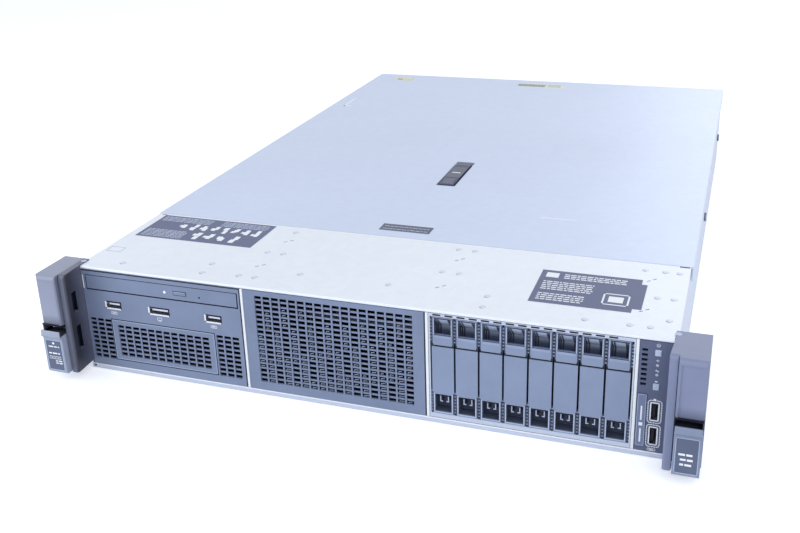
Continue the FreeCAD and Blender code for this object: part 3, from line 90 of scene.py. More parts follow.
class Surface:
    """A principled material; its detail is noise in the object's own space."""

    def __init__(self, name, metallic=0.0, roughness=0.5, specular=0.5):
        self.material = bpy.data.materials.new(name)
        self.material.use_nodes = True
        self.tree = self.material.node_tree
        self.shader = self.tree.nodes["Principled BSDF"]
        self.shader.inputs["Metallic"].default_value = metallic
        self.shader.inputs["Roughness"].default_value = roughness
        self.shader.inputs["Specular IOR Level"].default_value = specular
        self.place = self.node("TexCoord").outputs["Object"]
        self.height = None

    def node(self, kind, values=None, links=None):
        return add_node(self.tree, kind, values, links)

    def stretched(self, scale):
        return self.node("Mapping", {"Scale": scale}, {"Vector": self.place}).outputs["Vector"]

    def noise(self, scale, stretch=(1, 1, 1), detail=4.0, rough=0.5):
        values = {"Scale": scale, "Detail": detail, "Roughness": rough}
        return self.node("TexNoise", values, {"Vector": self.stretched(stretch)}).outputs["Fac"]

    def cells(self, scale):
        return self.node("TexVoronoi", {"Scale": scale}, {"Vector": self.place}).outputs["Color"]

    def ramp(self, value, stops):
        node = self.node("ValToRGB", links={"Fac": value})
        for end in (0, -1):
            element = node.color_ramp.elements[end]
            element.position, element.color = stops[end]
        for position, colour in stops[1:-1]:
            node.color_ramp.elements.new(position).color = colour
        return node.outputs["Color"]

    def spread(self, value, low, high):
        values = {"To Min": low, "To Max": high}
        return self.node("MapRange", values, {"Value": value}).outputs["Result"]

    def levels(self, axis, start, end):
        """0 at start and 1 at end along one axis of the object's own space, in mm."""
        split = self.node("SeparateXYZ", links={0: self.place})
        values = {"From Min": start * MM, "From Max": end * MM}
        return self.node("MapRange", values, {"Value": split.outputs[axis]}).outputs["Result"]

    def add_painted_shade(self, tone, shade_zone):
        """Painted shade: darker past every (axis, start, end) of the shade zone; its last item says how
        dark.
        """
        *runs, depth = shade_zone
        amount = None
        for axis, start, end in runs:
            level = self.levels(axis, start, end)
            if amount:
                both = self.node("Math", links={0: amount, 1: level})
                both.operation = "MULTIPLY"
                level = both.outputs[0]
            amount = level
        dark = self.ramp(amount, [(0.0, WHITE), (1.0, (depth, depth, depth * 1.08, 1))])
        return self.blended(tone, dark, 1.0, "MULTIPLY")

    def blended(self, colour_a, colour_b, amount, mode="MIX"):
        node = self.node("Mix")
        node.data_type = "RGBA"
        node.blend_type = mode
        for socket, value in (("A", colour_a), ("B", colour_b)):
            found = [s for s in node.inputs if s.name == socket and s.type == "RGBA"][0]
            if isinstance(value, tuple):
                found.default_value = value
            else:
                self.tree.links.new(value, found)
        if isinstance(amount, float):
            node.inputs["Factor"].default_value = amount
        else:
            self.tree.links.new(amount, node.inputs["Factor"])
        return [s for s in node.outputs if s.type == "RGBA"][0]

    def colour(self, value):
        self.tree.links.new(value, self.shader.inputs["Base Color"])

    def roughness(self, value):
        self.tree.links.new(value, self.shader.inputs["Roughness"])

    def bump(self, value, depth, strength=0.5):
        node = self.node("Bump", {"Strength": strength, "Distance": depth}, {"Height": value})
        if self.height:
            self.tree.links.new(self.height, node.inputs["Normal"])
        self.height = node.outputs["Normal"]
        self.tree.links.new(self.height, self.shader.inputs["Normal"])


def sheet_metal(name, colour, metallic=0.45, roughness=0.36, grain=(1, 14, 1)):
    """Zinc-coated sheet: faint rolled grain, cloudy tone and a hint of spangle."""
    s = Surface(name, metallic, roughness, 0.5)
    cloud = s.noise(5.0, detail=3.0)
    rolled = s.noise(420.0, grain, detail=3.0)
    tone = s.ramp(cloud, [(0.3, shade(colour, 0.955)), (0.7, colour)])
    flake = s.ramp(s.cells(160.0), [(0.0, (0.93, 0.93, 0.94, 1)), (1.0, WHITE)])
    tone = s.blended(tone, flake, 0.5, "MULTIPLY")
    streak = s.ramp(rolled, [(0.35, (0.955, 0.955, 0.96, 1)), (0.65, WHITE)])
    s.colour(s.blended(tone, streak, 0.7, "MULTIPLY"))
    s.roughness(s.spread(s.noise(60.0, grain), roughness - 0.07, roughness + 0.09))
    s.bump(rolled, 0.00002, 0.25)
    return s.material


def moulded(name, colour, roughness=0.45, wear=0.0, specular=0.5, shade_zones=()):
    """Moulded plastic: fine spark-eroded grain, a little cloudiness and scuffing, and painted shade in
    its shade zones.
    """
    s = Surface(name, 0.0, roughness, specular)
    cloud = s.noise(28.0, detail=3.0)
    fine = s.noise(2600.0, detail=2.0)
    tone = s.ramp(cloud, [(0.3, shade(colour, 0.9)), (0.7, shade(colour, 1.06))])
    speck = s.ramp(fine, [(0.3, (0.93, 0.93, 0.93, 1)), (0.7, WHITE)])
    tone = s.blended(tone, speck, 0.6, "MULTIPLY")
    if wear:
        patches = s.noise(190.0, (1, 1, 6), detail=6.0, rough=0.7)
        scuff = s.ramp(patches, [(0.62, NOTHING), (0.72, WHITE)])
        tone = s.blended(tone, shade(colour, 1.5), s.blended(NOTHING, scuff, wear))
    for shade_zone in shade_zones:
        tone = s.add_painted_shade(tone, shade_zone)
    s.colour(tone)
    s.roughness(s.spread(cloud, roughness - 0.06, roughness + 0.08))
    s.bump(fine, 0.00003, 0.6)
    return s.material


def recess_light_and_shade(name, top, bottom, low, high):
    """The back of a finger recess: plastic with painted light and shade, pale at its top and darker
    towards its foot.
    """
    s = Surface(name, 0.0, 0.45, 0.4)
    tone = s.ramp(s.levels("Z", low, high), [(0.0, bottom), (0.35, shade(top, 0.66)), (1.0, top)])
    speck = s.ramp(s.noise(2400.0, detail=2.0), [(0.3, (0.9, 0.9, 0.9, 1)), (0.7, WHITE)])
    s.colour(s.blended(tone, speck, 0.7, "MULTIPLY"))
    s.bump(s.noise(1800.0, detail=2.0), 0.00003, 0.5)
    return s.material


def bare_metal(name, colour, roughness=0.3, grain=(1, 1, 10)):
    """Drawn or turned metal, bright along its grain."""
    s = Surface(name, 0.9, roughness)
    drawn = s.noise(900.0, grain, detail=2.0)
    s.colour(s.ramp(drawn, [(0.3, shade(colour, 0.82)), (0.7, colour)]))
    s.roughness(s.spread(drawn, roughness - 0.08, roughness + 0.14))
    s.bump(drawn, 0.00002, 0.3)
    return s.material


def board_finish(name, colour):
    """A solder-masked board: tracks under the mask and tinned pads."""
    s = Surface(name, 0.0, 0.32, 0.6)
    values = {"Scale": 260.0, "Mortar Size": 0.03, "Color1": colour, "Color2": shade(colour, 1.35),
              "Mortar": shade(colour, 1.9)}
    tracks = s.node("TexBrick", values, {"Vector": s.stretched((1, 0.35, 1))})
    pads = s.ramp(s.cells(420.0), [(0.86, NOTHING), (0.9, WHITE)])
    s.colour(s.blended(tracks.outputs["Color"], srgb(190, 190, 180), pads))
    s.bump(tracks.outputs["Fac"], 0.00003, 0.3)
    return s.material


def printed(name, colour, roughness=0.5):
    """Ink or label stock: matte, with a faint unevenness."""
    s = Surface(name, 0.0, roughness, 0.4)
    fleck = s.noise(700.0, detail=3.0)
    s.colour(s.ramp(fleck, [(0.3, shade(colour, 0.93)), (0.7, colour)]))
    s.bump(fleck, 0.00001, 0.2)
    return s.material


def glowing(name, colour, strength):
    """A milky lamp lens with a weak light of its own."""
    s = Surface(name, 0.0, 0.25, 0.6)
    milk = s.noise(900.0, detail=2.0)
    s.colour(s.ramp(milk, [(0.3, shade(colour, 0.85)), (0.7, colour)]))
    s.shader.inputs["Emission Color"].default_value = colour
    s.shader.inputs["Emission Strength"].default_value = strength
    return s.material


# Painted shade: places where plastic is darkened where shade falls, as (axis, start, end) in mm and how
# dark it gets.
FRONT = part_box("front_cover")[0][1] / MM
INSIDE_SHADE = ("Y", FRONT + 1.4, FRONT + 1.8)
SCOOP_SHADE = (("X", 223.6, 224.6), ("Z", 56.0, 46.0), ("Y", FRONT - 15.0, FRONT - 22.0), 0.3)
LEFT_SCOOP_SHADE = (("X", -223.6, -224.6),) + SCOOP_SHADE[1:]
LEFT_RIDGE_SHADE = ((("X", -224.8, -223.4), 0.46), (("X", -219.6, -218.2), 0.22))
LEVER_TOP_SHADE = ((("Z", 39.4, 40.2), ("Y", FRONT - 29.2, FRONT - 28.2), 0.12),)
BLANK_SIDE_SHADE = (("Y", FRONT + 0.5, FRONT + 1.5), 0.3)

LID = sheet_metal("lid_steel", srgb(210, 221, 244), 0.3, 0.42)
COVER = sheet_metal("cover_steel", srgb(238, 243, 252), 0.2, 0.44)
PAN = sheet_metal("pan_steel", srgb(198, 206, 223), 0.45, 0.4, (1, 1, 14))
# Steel made near white as painted highlight: the dividers' edges and the slit by the tray.
LIT_EDGE = sheet_metal("lit_edge_steel", srgb(253, 254, 255), 0.0, 0.4)
CASE = sheet_metal("case_steel", srgb(182, 190, 208), 0.5, 0.42)
RIVET = sheet_metal("rivet_steel", srgb(217, 224, 238), 0.3, 0.4)
BEZEL = moulded("bezel_plastic", srgb(126, 138, 167), 0.42, shade_zones=((INSIDE_SHADE, 0.1),))
BLANK = moulded("blank_plastic", srgb(138, 151, 180), 0.4, shade_zones=(BLANK_SIDE_SHADE,))
# Dark plastic for the seams of the power supplies, and painted shade: rib shadows, dark strips and the
# back of the blanks' lower window.
SEAM_AND_SHADE = moulded("seam_and_shade_plastic", srgb(44, 52, 78), 0.5)
RECESS_LIGHT_AND_SHADE = recess_light_and_shade("recess_light_and_shade_plastic", srgb(204, 216, 240), srgb(96, 108, 142), 68.5, 79.0)
# Painted highlight: a lighter copy of the blank plastic for the band on the bar under the grip recess.
BAR_HIGHLIGHT = moulded("bar_highlight_plastic", srgb(150, 164, 195), 0.38)
# Pale plastic for print on the service plate, the ears' caps and the guide teeth, and painted highlight
# on rims, edges, catches and glints.
PALE_AND_HIGHLIGHT = moulded("pale_and_highlight_plastic", srgb(186, 199, 224), 0.36)
PANEL = moulded("control_plastic", srgb(86, 95, 124), 0.42, shade_zones=((INSIDE_SHADE, 0.2),))
TAB = moulded("tab_plastic", srgb(112, 124, 156), 0.4)
EAR = moulded("ear_plastic", srgb(132, 140, 171), 0.4, wear=0.08, shade_zones=(SCOOP_SHADE,))
# The left ear is a lighter copy of the ear plastic: painted light, as the lamp on the left falls on it.
LIT_EAR_LEFT = moulded("lit_ear_left_plastic", srgb(151, 156, 178), 0.4, wear=0.08,
                   shade_zones=(LEFT_SCOOP_SHADE,) + LEFT_RIDGE_SHADE)
LEVER = moulded("lever_plastic", srgb(137, 147, 175), 0.38, shade_zones=LEVER_TOP_SHADE)
# The left lever is a lighter copy of the lever plastic: painted light from the left.
LIT_LEVER_LEFT = moulded("lit_lever_left_plastic", srgb(163, 171, 192), 0.38, shade_zones=LEVER_TOP_SHADE)
BADGE = moulded("badge_plastic", srgb(90, 100, 128), 0.36)
LATCH = moulded("latch_plastic", srgb(70, 79, 108), 0.36)
# Black plastic of chips and sockets, and painted shade in holes, slots, gaps, grooves, notches, throats
# and recesses.
BLACK = moulded("black_plastic_and_shade", srgb(12, 15, 32), 0.5, specular=0.3)
DARK = moulded("fan_plastic", srgb(32, 34, 44), 0.45)
BUTTON = moulded("button_plastic", srgb(188, 199, 222), 0.35)
BLUE = moulded("touch_plastic", srgb(58, 92, 150), 0.4)
SCREW = bare_metal("hardware_steel", srgb(182, 186, 196), 0.28)
STUD = bare_metal("stud_steel", srgb(136, 142, 158), 0.34)
SHELL = bare_metal("socket_metal", srgb(214, 218, 228), 0.25)
FINS = bare_metal("sink_aluminium", srgb(206, 210, 218), 0.3, (10, 1, 1))
BOARD = board_finish("circuit_board", srgb(26, 88, 62))
MODULE = board_finish("module_board", srgb(20, 70, 60))
LABEL = printed("label_stock", srgb(98, 106, 138))
# White print, and painted highlight on glints, edges, hems and pressed marks.
INK_AND_HIGHLIGHT = printed("white_ink_and_highlight", srgb(246, 248, 254))
PALE = printed("pale_label", srgb(236, 236, 208))
GOLD = printed("yellow_label", srgb(238, 222, 150))
LAMP = glowing("lamp_lens", srgb(236, 242, 255), 0.35)
CONTACT = bare_metal("contact_gold", srgb(214, 178, 92), 0.3)
# Black film laid in the bays: painted shade.
SHADE_FILM = printed("bay_shade_film", srgb(16, 19, 34), 0.6)

# Finishes of each slot of the record; the first is that of its CAD nodes.
FINISHES = {
    "sheet_steel": (PAN, LID, COVER, LIT_EDGE, RIVET), "supply_steel": (CASE,),
    "bezel_plastic": (BEZEL, BLANK, PALE_AND_HIGHLIGHT, PANEL, SEAM_AND_SHADE, RECESS_LIGHT_AND_SHADE, TAB, BLACK, BAR_HIGHLIGHT),
    "ear_plastic": (EAR, LEVER, BADGE, LIT_EAR_LEFT, LIT_LEVER_LEFT), "latch_plastic": (LATCH, BLUE),
    "fan_plastic": (DARK,), "button_plastic": (BUTTON,), "hardware_steel": (SCREW, STUD),
    "socket_metal": (SHELL,), "sink_aluminium": (FINS,), "circuit_board": (BOARD, MODULE),
}
BY_NODE = {
    "front_cover": COVER, "access_panel": LID, "bay_dividers": LIT_EDGE, "control_panel": PANEL,
    "pull_tab": TAB, "memory_modules": MODULE, "release_lever_left": LIT_LEVER_LEFT,
    "release_lever_right": LEVER, "optical_drive": CASE, "ear_left": LIT_EAR_LEFT,
}
SLOT_OF = {item["node"]: item["material_slot"] for item in frame["record"]["subparts"]}
for node, item in frame["nodes"].items():
    finish = BY_NODE.get(node, FINISHES.get(SLOT_OF.get(node), (PAN,))[0])
    item.data.materials.clear()
    item.data.materials.append(BLANK if node.startswith("drive_blank") else finish)


# ---------------------------------------------------------------- building blocks

def metres(corner):
    return tuple(value * MM for value in corner)


def soften(piece, width, segments=2):
    """Rounds the sharp edges of a piece, by a width in mm."""
    bevel = piece.modifiers.new("bevel", "BEVEL")
    bevel.width = width * MM
    bevel.segments = segments
    bevel.limit_method = "ANGLE"
    bevel.angle_limit = math.radians(35)
    bevel.harden_normals = False


def finished(name, build, material, body, bevel=0.0, segments=2):
    """Makes what a bmesh holds into a piece that rides on a body."""
    mesh = bpy.data.meshes.new(name)
    build.to_mesh(mesh)
    build.free()
    mesh.materials.append(material)
    piece = bpy.data.objects.new(name, mesh)
    bpy.context.scene.collection.objects.link(piece)
    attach(piece, body)
    if bevel:
        soften(piece, bevel, segments)


BOX_FACES = ((0, 1, 3, 2), (4, 6, 7, 5), (0, 4, 5, 1), (2, 3, 7, 6), (0, 2, 6, 4), (1, 5, 7, 3))


def blocks(name, boxes, material, body="chassis", bevel=0.0, segments=2):
    """Several boxes as one piece, each from its lowest to its highest corner."""
    build = bmesh.new()
    for low, high in boxes:
        low, high = metres(low), metres(high)
        corners = [build.verts.new((x, y, z)) for x in (low[0], high[0]) for y in (low[1], high[1])
                   for z in (low[2], high[2])]
        for face in BOX_FACES:
            build.faces.new([corners[k] for k in face])
    build.normal_update()
    finished(name, build, material, body, bevel, segments)


def prisms(name, pairs, material, body="chassis", bevel=0.0):
    """Straight bars as one piece: each is a pair of outlines, corner for corner."""
    build = bmesh.new()
    for pair in pairs:
        one, two = [[build.verts.new(metres(corner)) for corner in outline] for outline in pair]
        total = len(one)
        build.faces.new(one)
        build.faces.new(list(reversed(two)))
        for k in range(total):
            build.faces.new((one[k], two[k], two[(k + 1) % total], one[(k + 1) % total]))
    bmesh.ops.recalc_face_normals(build, faces=build.faces)
    finished(name, build, material, body, bevel)


def plate(name, outline, low, thick, material, body="chassis"):
    """A flat plate on a top face: an outline in X and Y."""
    prisms(name, [[[(x, y, z) for x, y in outline] for z in (low, low + thick)]], material, body)


def bars_along_x(name, bars, material, body="chassis", bevel=0.0):
    """Bars with an outline in Y and Z: (outline, left end, right end) for each."""
    prisms(name, [[[(x, y, z) for y, z in outline] for x in ends] for outline, *ends in bars],
           material, body, bevel)


def front_shapes(name, shapes, y, material, body="chassis", thick=0.06):
    """Flat shapes, as outlines in X and Z, before a front face, or behind a rear one."""
    prisms(name, [[[(x, level, z) for x, z in shape] for level in (y - thick, y)] for shape in shapes],
           material, body)


def rounded_line(x0, x1, z0, z1, radius, line, dash=60.0, gap=0.0):
    """A line, in dashes where gap isn't 0, round a rectangle with round corners."""
    path = []
    for centre_x, centre_z, start in ((x1 - radius, z1 - radius, 0), (x0 + radius, z1 - radius, 90),
                                      (x0 + radius, z0 + radius, 180), (x1 - radius, z0 + radius, 270)):
        for k in range(5):
            angle = math.radians(start + 22.5 * k)
            spoke = Vector((math.cos(angle), math.sin(angle)))
            path.append(Vector((centre_x, centre_z)) + radius * spoke)
    shapes = []
    for one, two in zip(path, path[1:] + path[:1]):
        run = two - one
        across = Vector((-run.y, run.x)).normalized() * line
        parts = max(1, round(run.length / (dash + gap)))
        for k in range(parts):
            a = one + run * (k / parts)
            b = one + run * ((k + 1) / parts)
            if parts > 1:
                b -= run.normalized() * gap
            shapes.append([tuple(a), tuple(b), tuple(b + across), tuple(a + across)])
    return shapes


def turned(name, spots, profile, axis, material, body="chassis", sides=24):
    """Round pieces about an axis through each spot: profile is (radius, distance along it)."""
    build = bmesh.new()
    turn = {"X": lambda a, r, d: (d, r * math.cos(a), r * math.sin(a)),
            "Y": lambda a, r, d: (r * math.cos(a), d, r * math.sin(a)),
            "Z": lambda a, r, d: (r * math.cos(a), r * math.sin(a), d)}[axis]
    angles = [2 * math.pi * k / sides for k in range(sides)]
    for spot in spots:
        middle = Vector(metres(spot))
        rings = [[build.verts.new(middle + Vector(turn(angle, radius * MM, away * MM)))
                  for angle in angles] for radius, away in profile]
        for one, two in zip(rings, rings[1:]):
            for k in range(sides):
                build.faces.new((one[k], one[(k + 1) % sides], two[(k + 1) % sides], two[k]))
        build.faces.new(list(reversed(rings[0])))
        build.faces.new(rings[-1])
    bmesh.ops.recalc_face_normals(build, faces=build.faces)
    for face in build.faces:
        face.smooth = len(face.verts) == 4
    finished(name, build, material, body)


def on_top(x0, x1, y0, y1, z, thick):
    """A box lying on a top face."""
    return (x0, y0, z), (x1, y1, z + thick)


def on_front(x0, x1, z0, z1, y, thick):
    """A box standing on a face that looks to the front."""
    return (x0, y - thick, z0), (x1, y, z1)


def top_marks(name, bars, z, material, body="chassis", thick=0.03):
    blocks(name, [on_top(*bar, z, thick) for bar in bars], material, body)


def front_marks(name, bars, y, material, body="chassis", thick=0.02):
    blocks(name, [on_front(*bar, y, thick) for bar in bars], material, body)


def frame_bars(x0, x1, z0, z1, line):
    """Four thin bars round a rectangle."""
    return [(x0, x1, z0, z0 + line), (x0, x1, z1 - line, z1),
            (x0, x0 + line, z0, z1), (x1 - line, x1, z0, z1)]


def span(node):
    """Lowest and highest corner of a node at rest."""
    low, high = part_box(node)
    return Vector(low) / MM, Vector(high) / MM


def along(distance):
    """A place behind the front plane."""
    return FRONT + distance


def text_rows(left, right, first, step, rows, height, seed):
    """Rows of short blank bars, in place of lines of print: (x0, x1, low, high)."""
    bars = []
    for row in range(rows):
        low = first + row * step
        place, k = left, 0
        while place < right - 1.0:
            end = min(right, place + 1.6 + 2.6 * abs(math.sin(seed + 12.9 * row + 7.3 * k)))
            bars.append((place, end, low, low + height))
            place = end + 0.7
            k += 1
    return bars


COVER_HIGH = span("front_cover")[1]
TOP = COVER_HIGH.z
SEAM = COVER_HIGH.y
PANEL_TOP, REAR = span("access_panel")[1].z, span("access_panel")[1].y
SIDES = ((-1, "left"), (1, "right"))
STOCK = 0.12    # thickness of a label
BLANKS = range(1, 9)
FANS = range(1, 7)


# ---------------------------------------------------------------- marks on the covers

def blots(x0, x1, y0, y1, count, seed):
    """Small uneven pictures without meaning, as boxes on the left label, each at its own height."""
    boxes = []
    wide = (x1 - x0) / count
    for k in range(count):
        left = x0 + k * wide
        for m in range(3):
            a = abs(math.sin(seed + 5.1 * k + 2.3 * m))
            b = abs(math.cos(seed + 3.7 * k + 4.9 * m))
            low = y0 + (y1 - y0) * 0.55 * b
            boxes.append(on_top(left + wide * 0.1 + wide * 0.4 * a, left + wide * (0.46 + 0.4 * a), low,
                                low + (y1 - y0) * (0.24 + 0.26 * a), TOP + STOCK, 0.02 + 0.01 * m))
    return boxes


def cover_label_left():
    x0, x1, y0, y1 = -214.0, -109.0, along(66.5), along(114.5)
    blocks("label_left", [on_top(x0, x1, y0, y1, TOP, STOCK)], LABEL, "chassis", 0.05, 1)
    bars = text_rows(x0 + 3, x1 - 56, y1 - 4, -2.6, 4, 1.2, 0.3)
    bars += text_rows(x0 + 3, x0 + 40, y0 + 3, 2.6, 6, 1.2, 1.1)
    bars += text_rows(x1 - 46, x1 - 4, y1 - 4, -2.6, 4, 1.2, 2.2)
    top_marks("label_left_print", bars, TOP + STOCK, BUTTON)
    marks = blots(x0 + 24, x1 - 4, y0 + 21, y0 + 34, 8, 0.7)
    blocks("label_left_marks", marks + blots(x0 + 44, x1 - 16, y0 + 4, y0 + 18, 4, 2.9), INK_AND_HIGHLIGHT)


def cover_label_right():
    x0, x1, y0, y1 = 119.5, 194.5, along(31.0), along(85.5)
    outline = [(x0, y0), (x1 - 6, y0), (x1 - 6, y0 + 6), (x1, y0 + 6), (x1, y1 - 8), (x1 - 4, y1 - 8),
               (x1 - 4, y1), (x0, y1)]
    plate("label_right", outline, TOP, STOCK, LABEL)
    bars = [(x0 + 4, x0 + 13, y1 - 12, y1 - 4)]
    bars += text_rows(x0 + 17, x1 - 14, y1 - 6, -3.0, 3, 1.4, 0.8)
    bars += text_rows(x0 + 4, x0 + 40, y0 + 22, 3.1, 5, 1.3, 1.9)
    bars += text_rows(x0 + 4, x0 + 36, y0 + 5, 3.1, 4, 1.3, 2.7)
    fx0, fx1, fy0, fy1 = x1 - 27, x1 - 9, y0 + 8, y0 + 26
    bars += frame_bars(fx0, fx1, fy0, fy1, 1.2) + [(fx0 + 4, fx1 - 4, fy0 + 4.5, fy1 - 4.5)]
    top_marks("label_right_print", bars, TOP + STOCK, INK_AND_HIGHLIGHT, thick=0.04)


def panel_labels():
    """The service plate behind the seam, and the stickers at the rear of the access panel."""
    lid = "access_panel"
    x0, x1, y0, y1 = -25.0, 18.0, along(130.0), along(144.0)
    blocks("service_plate", [on_top(x0, x1, y0, y1, PANEL_TOP, STOCK)], LATCH, lid, 0.05, 1)
    bars = text_rows(x0 + 2.5, x1 - 2.5, y0 + 3.0, 5.6, 2, 1.0, 4.4)
    top_marks("service_plate_print", bars, PANEL_TOP + STOCK, PALE_AND_HIGHLIGHT, lid)
    sticker = 0.1
    top_marks("rear_label_left", [(-193, -169, along(648), along(658))], PANEL_TOP, GOLD, lid, sticker)
    top_marks("rear_label_middle", [(-28, 31, along(645), along(661))], PANEL_TOP, PALE, lid, sticker)
    bars = text_rows(-27, 8, along(647), 3.0, 4, 2.3, 6.1)
    bars += text_rows(11, 28, along(649), 4.4, 3, 1.2, 1.4)
    top_marks("rear_label_print", bars, PANEL_TOP + sticker, LABEL, lid)
    corner = (-190, -184, along(651), along(655))
    top_marks("rear_label_corner", [corner], PANEL_TOP + sticker, LABEL, lid)


def cover_marks():
    """Pressed marks drawn in painted light and shade: an arrow corner and a long line as painted
    highlight, a square as painted shade; and a painted highlight on the hem at the seam.
    """
    corner = [(-208, -206.0, along(503), along(539)), (-208, -198, along(503), along(505.4))]
    line = (96, 126, along(189.4), along(190.6))
    top_marks("pressed_mark_highlights", corner + [line], PANEL_TOP, INK_AND_HIGHLIGHT, "access_panel", 0.06)
    square = frame_bars(-218, -205, along(32), along(41), 0.6)
    top_marks("pressed_square_shade", square, TOP, CASE, thick=0.05)
    top_marks("cover_hem_highlight", [(-220.5, 212.0, SEAM - 1.3, SEAM - 0.1)], TOP, INK_AND_HIGHLIGHT, thick=0.05)


RIVET_ROWS = {13.8: (-189.8, -121.1, 92.8, 161.4, 190.1, 203.1), 16.6: (-92.3, -79.4),
              30.8: (-122.3, -49.2, 19.5, 91.7), 26.0: (213.6,), 62.3: (-91.4, -78.1, 49.9, 62.5),
              59.0: (203.0, 213.9), 106.1: (-87.5, 50.0, 62.8), 103.6: (190.4, 204.4, 214.4)}


def cover_rivets():
    """Spot rivets that hold the bay cage, with their shadows, and slanted tooling marks."""
    places = [(x, along(y)) for y, row in RIVET_ROWS.items() for x in row]
    head = [(2.3, 0.0), (2.2, 0.18), (1.7, 0.3), (0.6, 0.34)]
    turned("cover_rivets", [(x, y, TOP) for x, y in places], head, "Z", RIVET, sides=20)
    build = bmesh.new()
    inner, steps = 2.3, 6
    for x, y in places:
        for k in range(steps):
            ring = []
            for step, wide in ((k, inner), (k + 1, inner), (k + 1, None), (k, None)):
                turn = math.radians(190.0 + 18.0 * step)
                wide = wide or 2.35 + 0.4 * math.sin(math.pi * step / steps)
                corner = (x + wide * math.cos(turn), y + wide * math.sin(turn), TOP + 0.03)
                ring.append(build.verts.new(metres(corner)))
            build.faces.new(ring)
    finished("rivet_shadows", build, LATCH, "chassis")
    centres = [(x + slip, along(y) + slip) for x in (-85.3, 56.0, 196.4) for y in (37.0, 87.0)
               for slip in (-1.9, 1.9)]
    for k, (x, y) in enumerate(centres, 1):
        dash = [(x - 1.3, y - 0.8), (x - 0.9, y - 1.3), (x + 1.3, y + 0.8), (x + 0.9, y + 1.3)]
        plate("tooling_dash_%d" % k, dash, TOP, 0.04, BLACK)


def latch_details():
    """Mark of the panel's latch, its grooves painted dark as shade, its thumb edges as painted highlight
    and its painted shadow, and the notches in the seam painted black as shade.
    """
    low, high = span("panel_latch")
    top, body = high.z, "panel_latch"
    base, proud = top - 0.05, 0.051
    mark = (low.x + 3.5, high.x - 3.0, low.y + 33.0, low.y + 35.0)
    top_marks("latch_mark", [mark], base, INK_AND_HIGHLIGHT, body, proud)
    grooves = [(low.x + 1.2, high.x - 1.2, low.y + y, low.y + y + 0.9)
               for y in (18.5, 52.0, 54.0, 56.0)]
    top_marks("latch_groove_shade", grooves, base, BLACK, body, proud)
    thumb = [(low.y + 1.0, top - 0.6), (low.y + 2.2, top), (low.y + 15.0, top),
             (low.y + 17.5, top - 0.7)]
    edges = [(thumb, low.x + 0.9, low.x + 1.5), (thumb, high.x - 1.5, high.x - 0.9)]
    bars_along_x("latch_thumb_highlights", edges, PALE_AND_HIGHLIGHT, body)
    shadow = [(low.x - 0.8, high.x + 0.2, low.y - 2.2, low.y - 0.05),
              (low.x - 0.8, low.x - 0.05, low.y, low.y + 26.0)]
    top_marks("latch_shadow", shadow, PANEL_TOP, BLACK, "access_panel")
    notches = [(-218.2, -213.6, SEAM - 2.4, SEAM - 0.4), (213.4, 220.6, SEAM - 2.2, SEAM - 0.4)]
    top_marks("seam_notch_shade", notches, TOP, BLACK)


def stud_caps():
    """Turned heads of the rail studs on both side walls."""
    for mount in frame["record"]["mounts"]:
        if mount["name"].startswith("rail_stud"):
            x, y, z = mount["pos_m"]
            out = math.copysign(1.0, x)
            head = [(radius, away * out) for radius, away in
                    ((4.05, 0.02), (4.05, 1.9), (3.7, 2.2), (1.6, 2.2), (1.2, 1.9))]
            spot = (out * COVER_HIGH.x, y / MM, z / MM)
            turned(mount["name"] + "_head", [spot], head, "X", STUD, sides=28)


# ---------------------------------------------------------------- front

FRONT_SOCKETS = ((-200.6, 13.2), (-162.6, 17.2), (-114.6, 13.2))    # left end and width


def socket_mark(x, z):
    """A generic mark for a socket: a small outlined box with a bar in it."""
    return frame_bars(x - 2.6, x + 2.6, z - 1.1, z + 1.1, 0.35) + [(x - 1.4, x + 1.4, z - 0.2, z + 0.3)]


def grown(node, by, line):
    """Four thin bars round the front of a node, grown by a distance on each side."""
    low, high = span(node)
    return frame_bars(low.x - by, high.x + by, low.z - by, high.z + by, line)


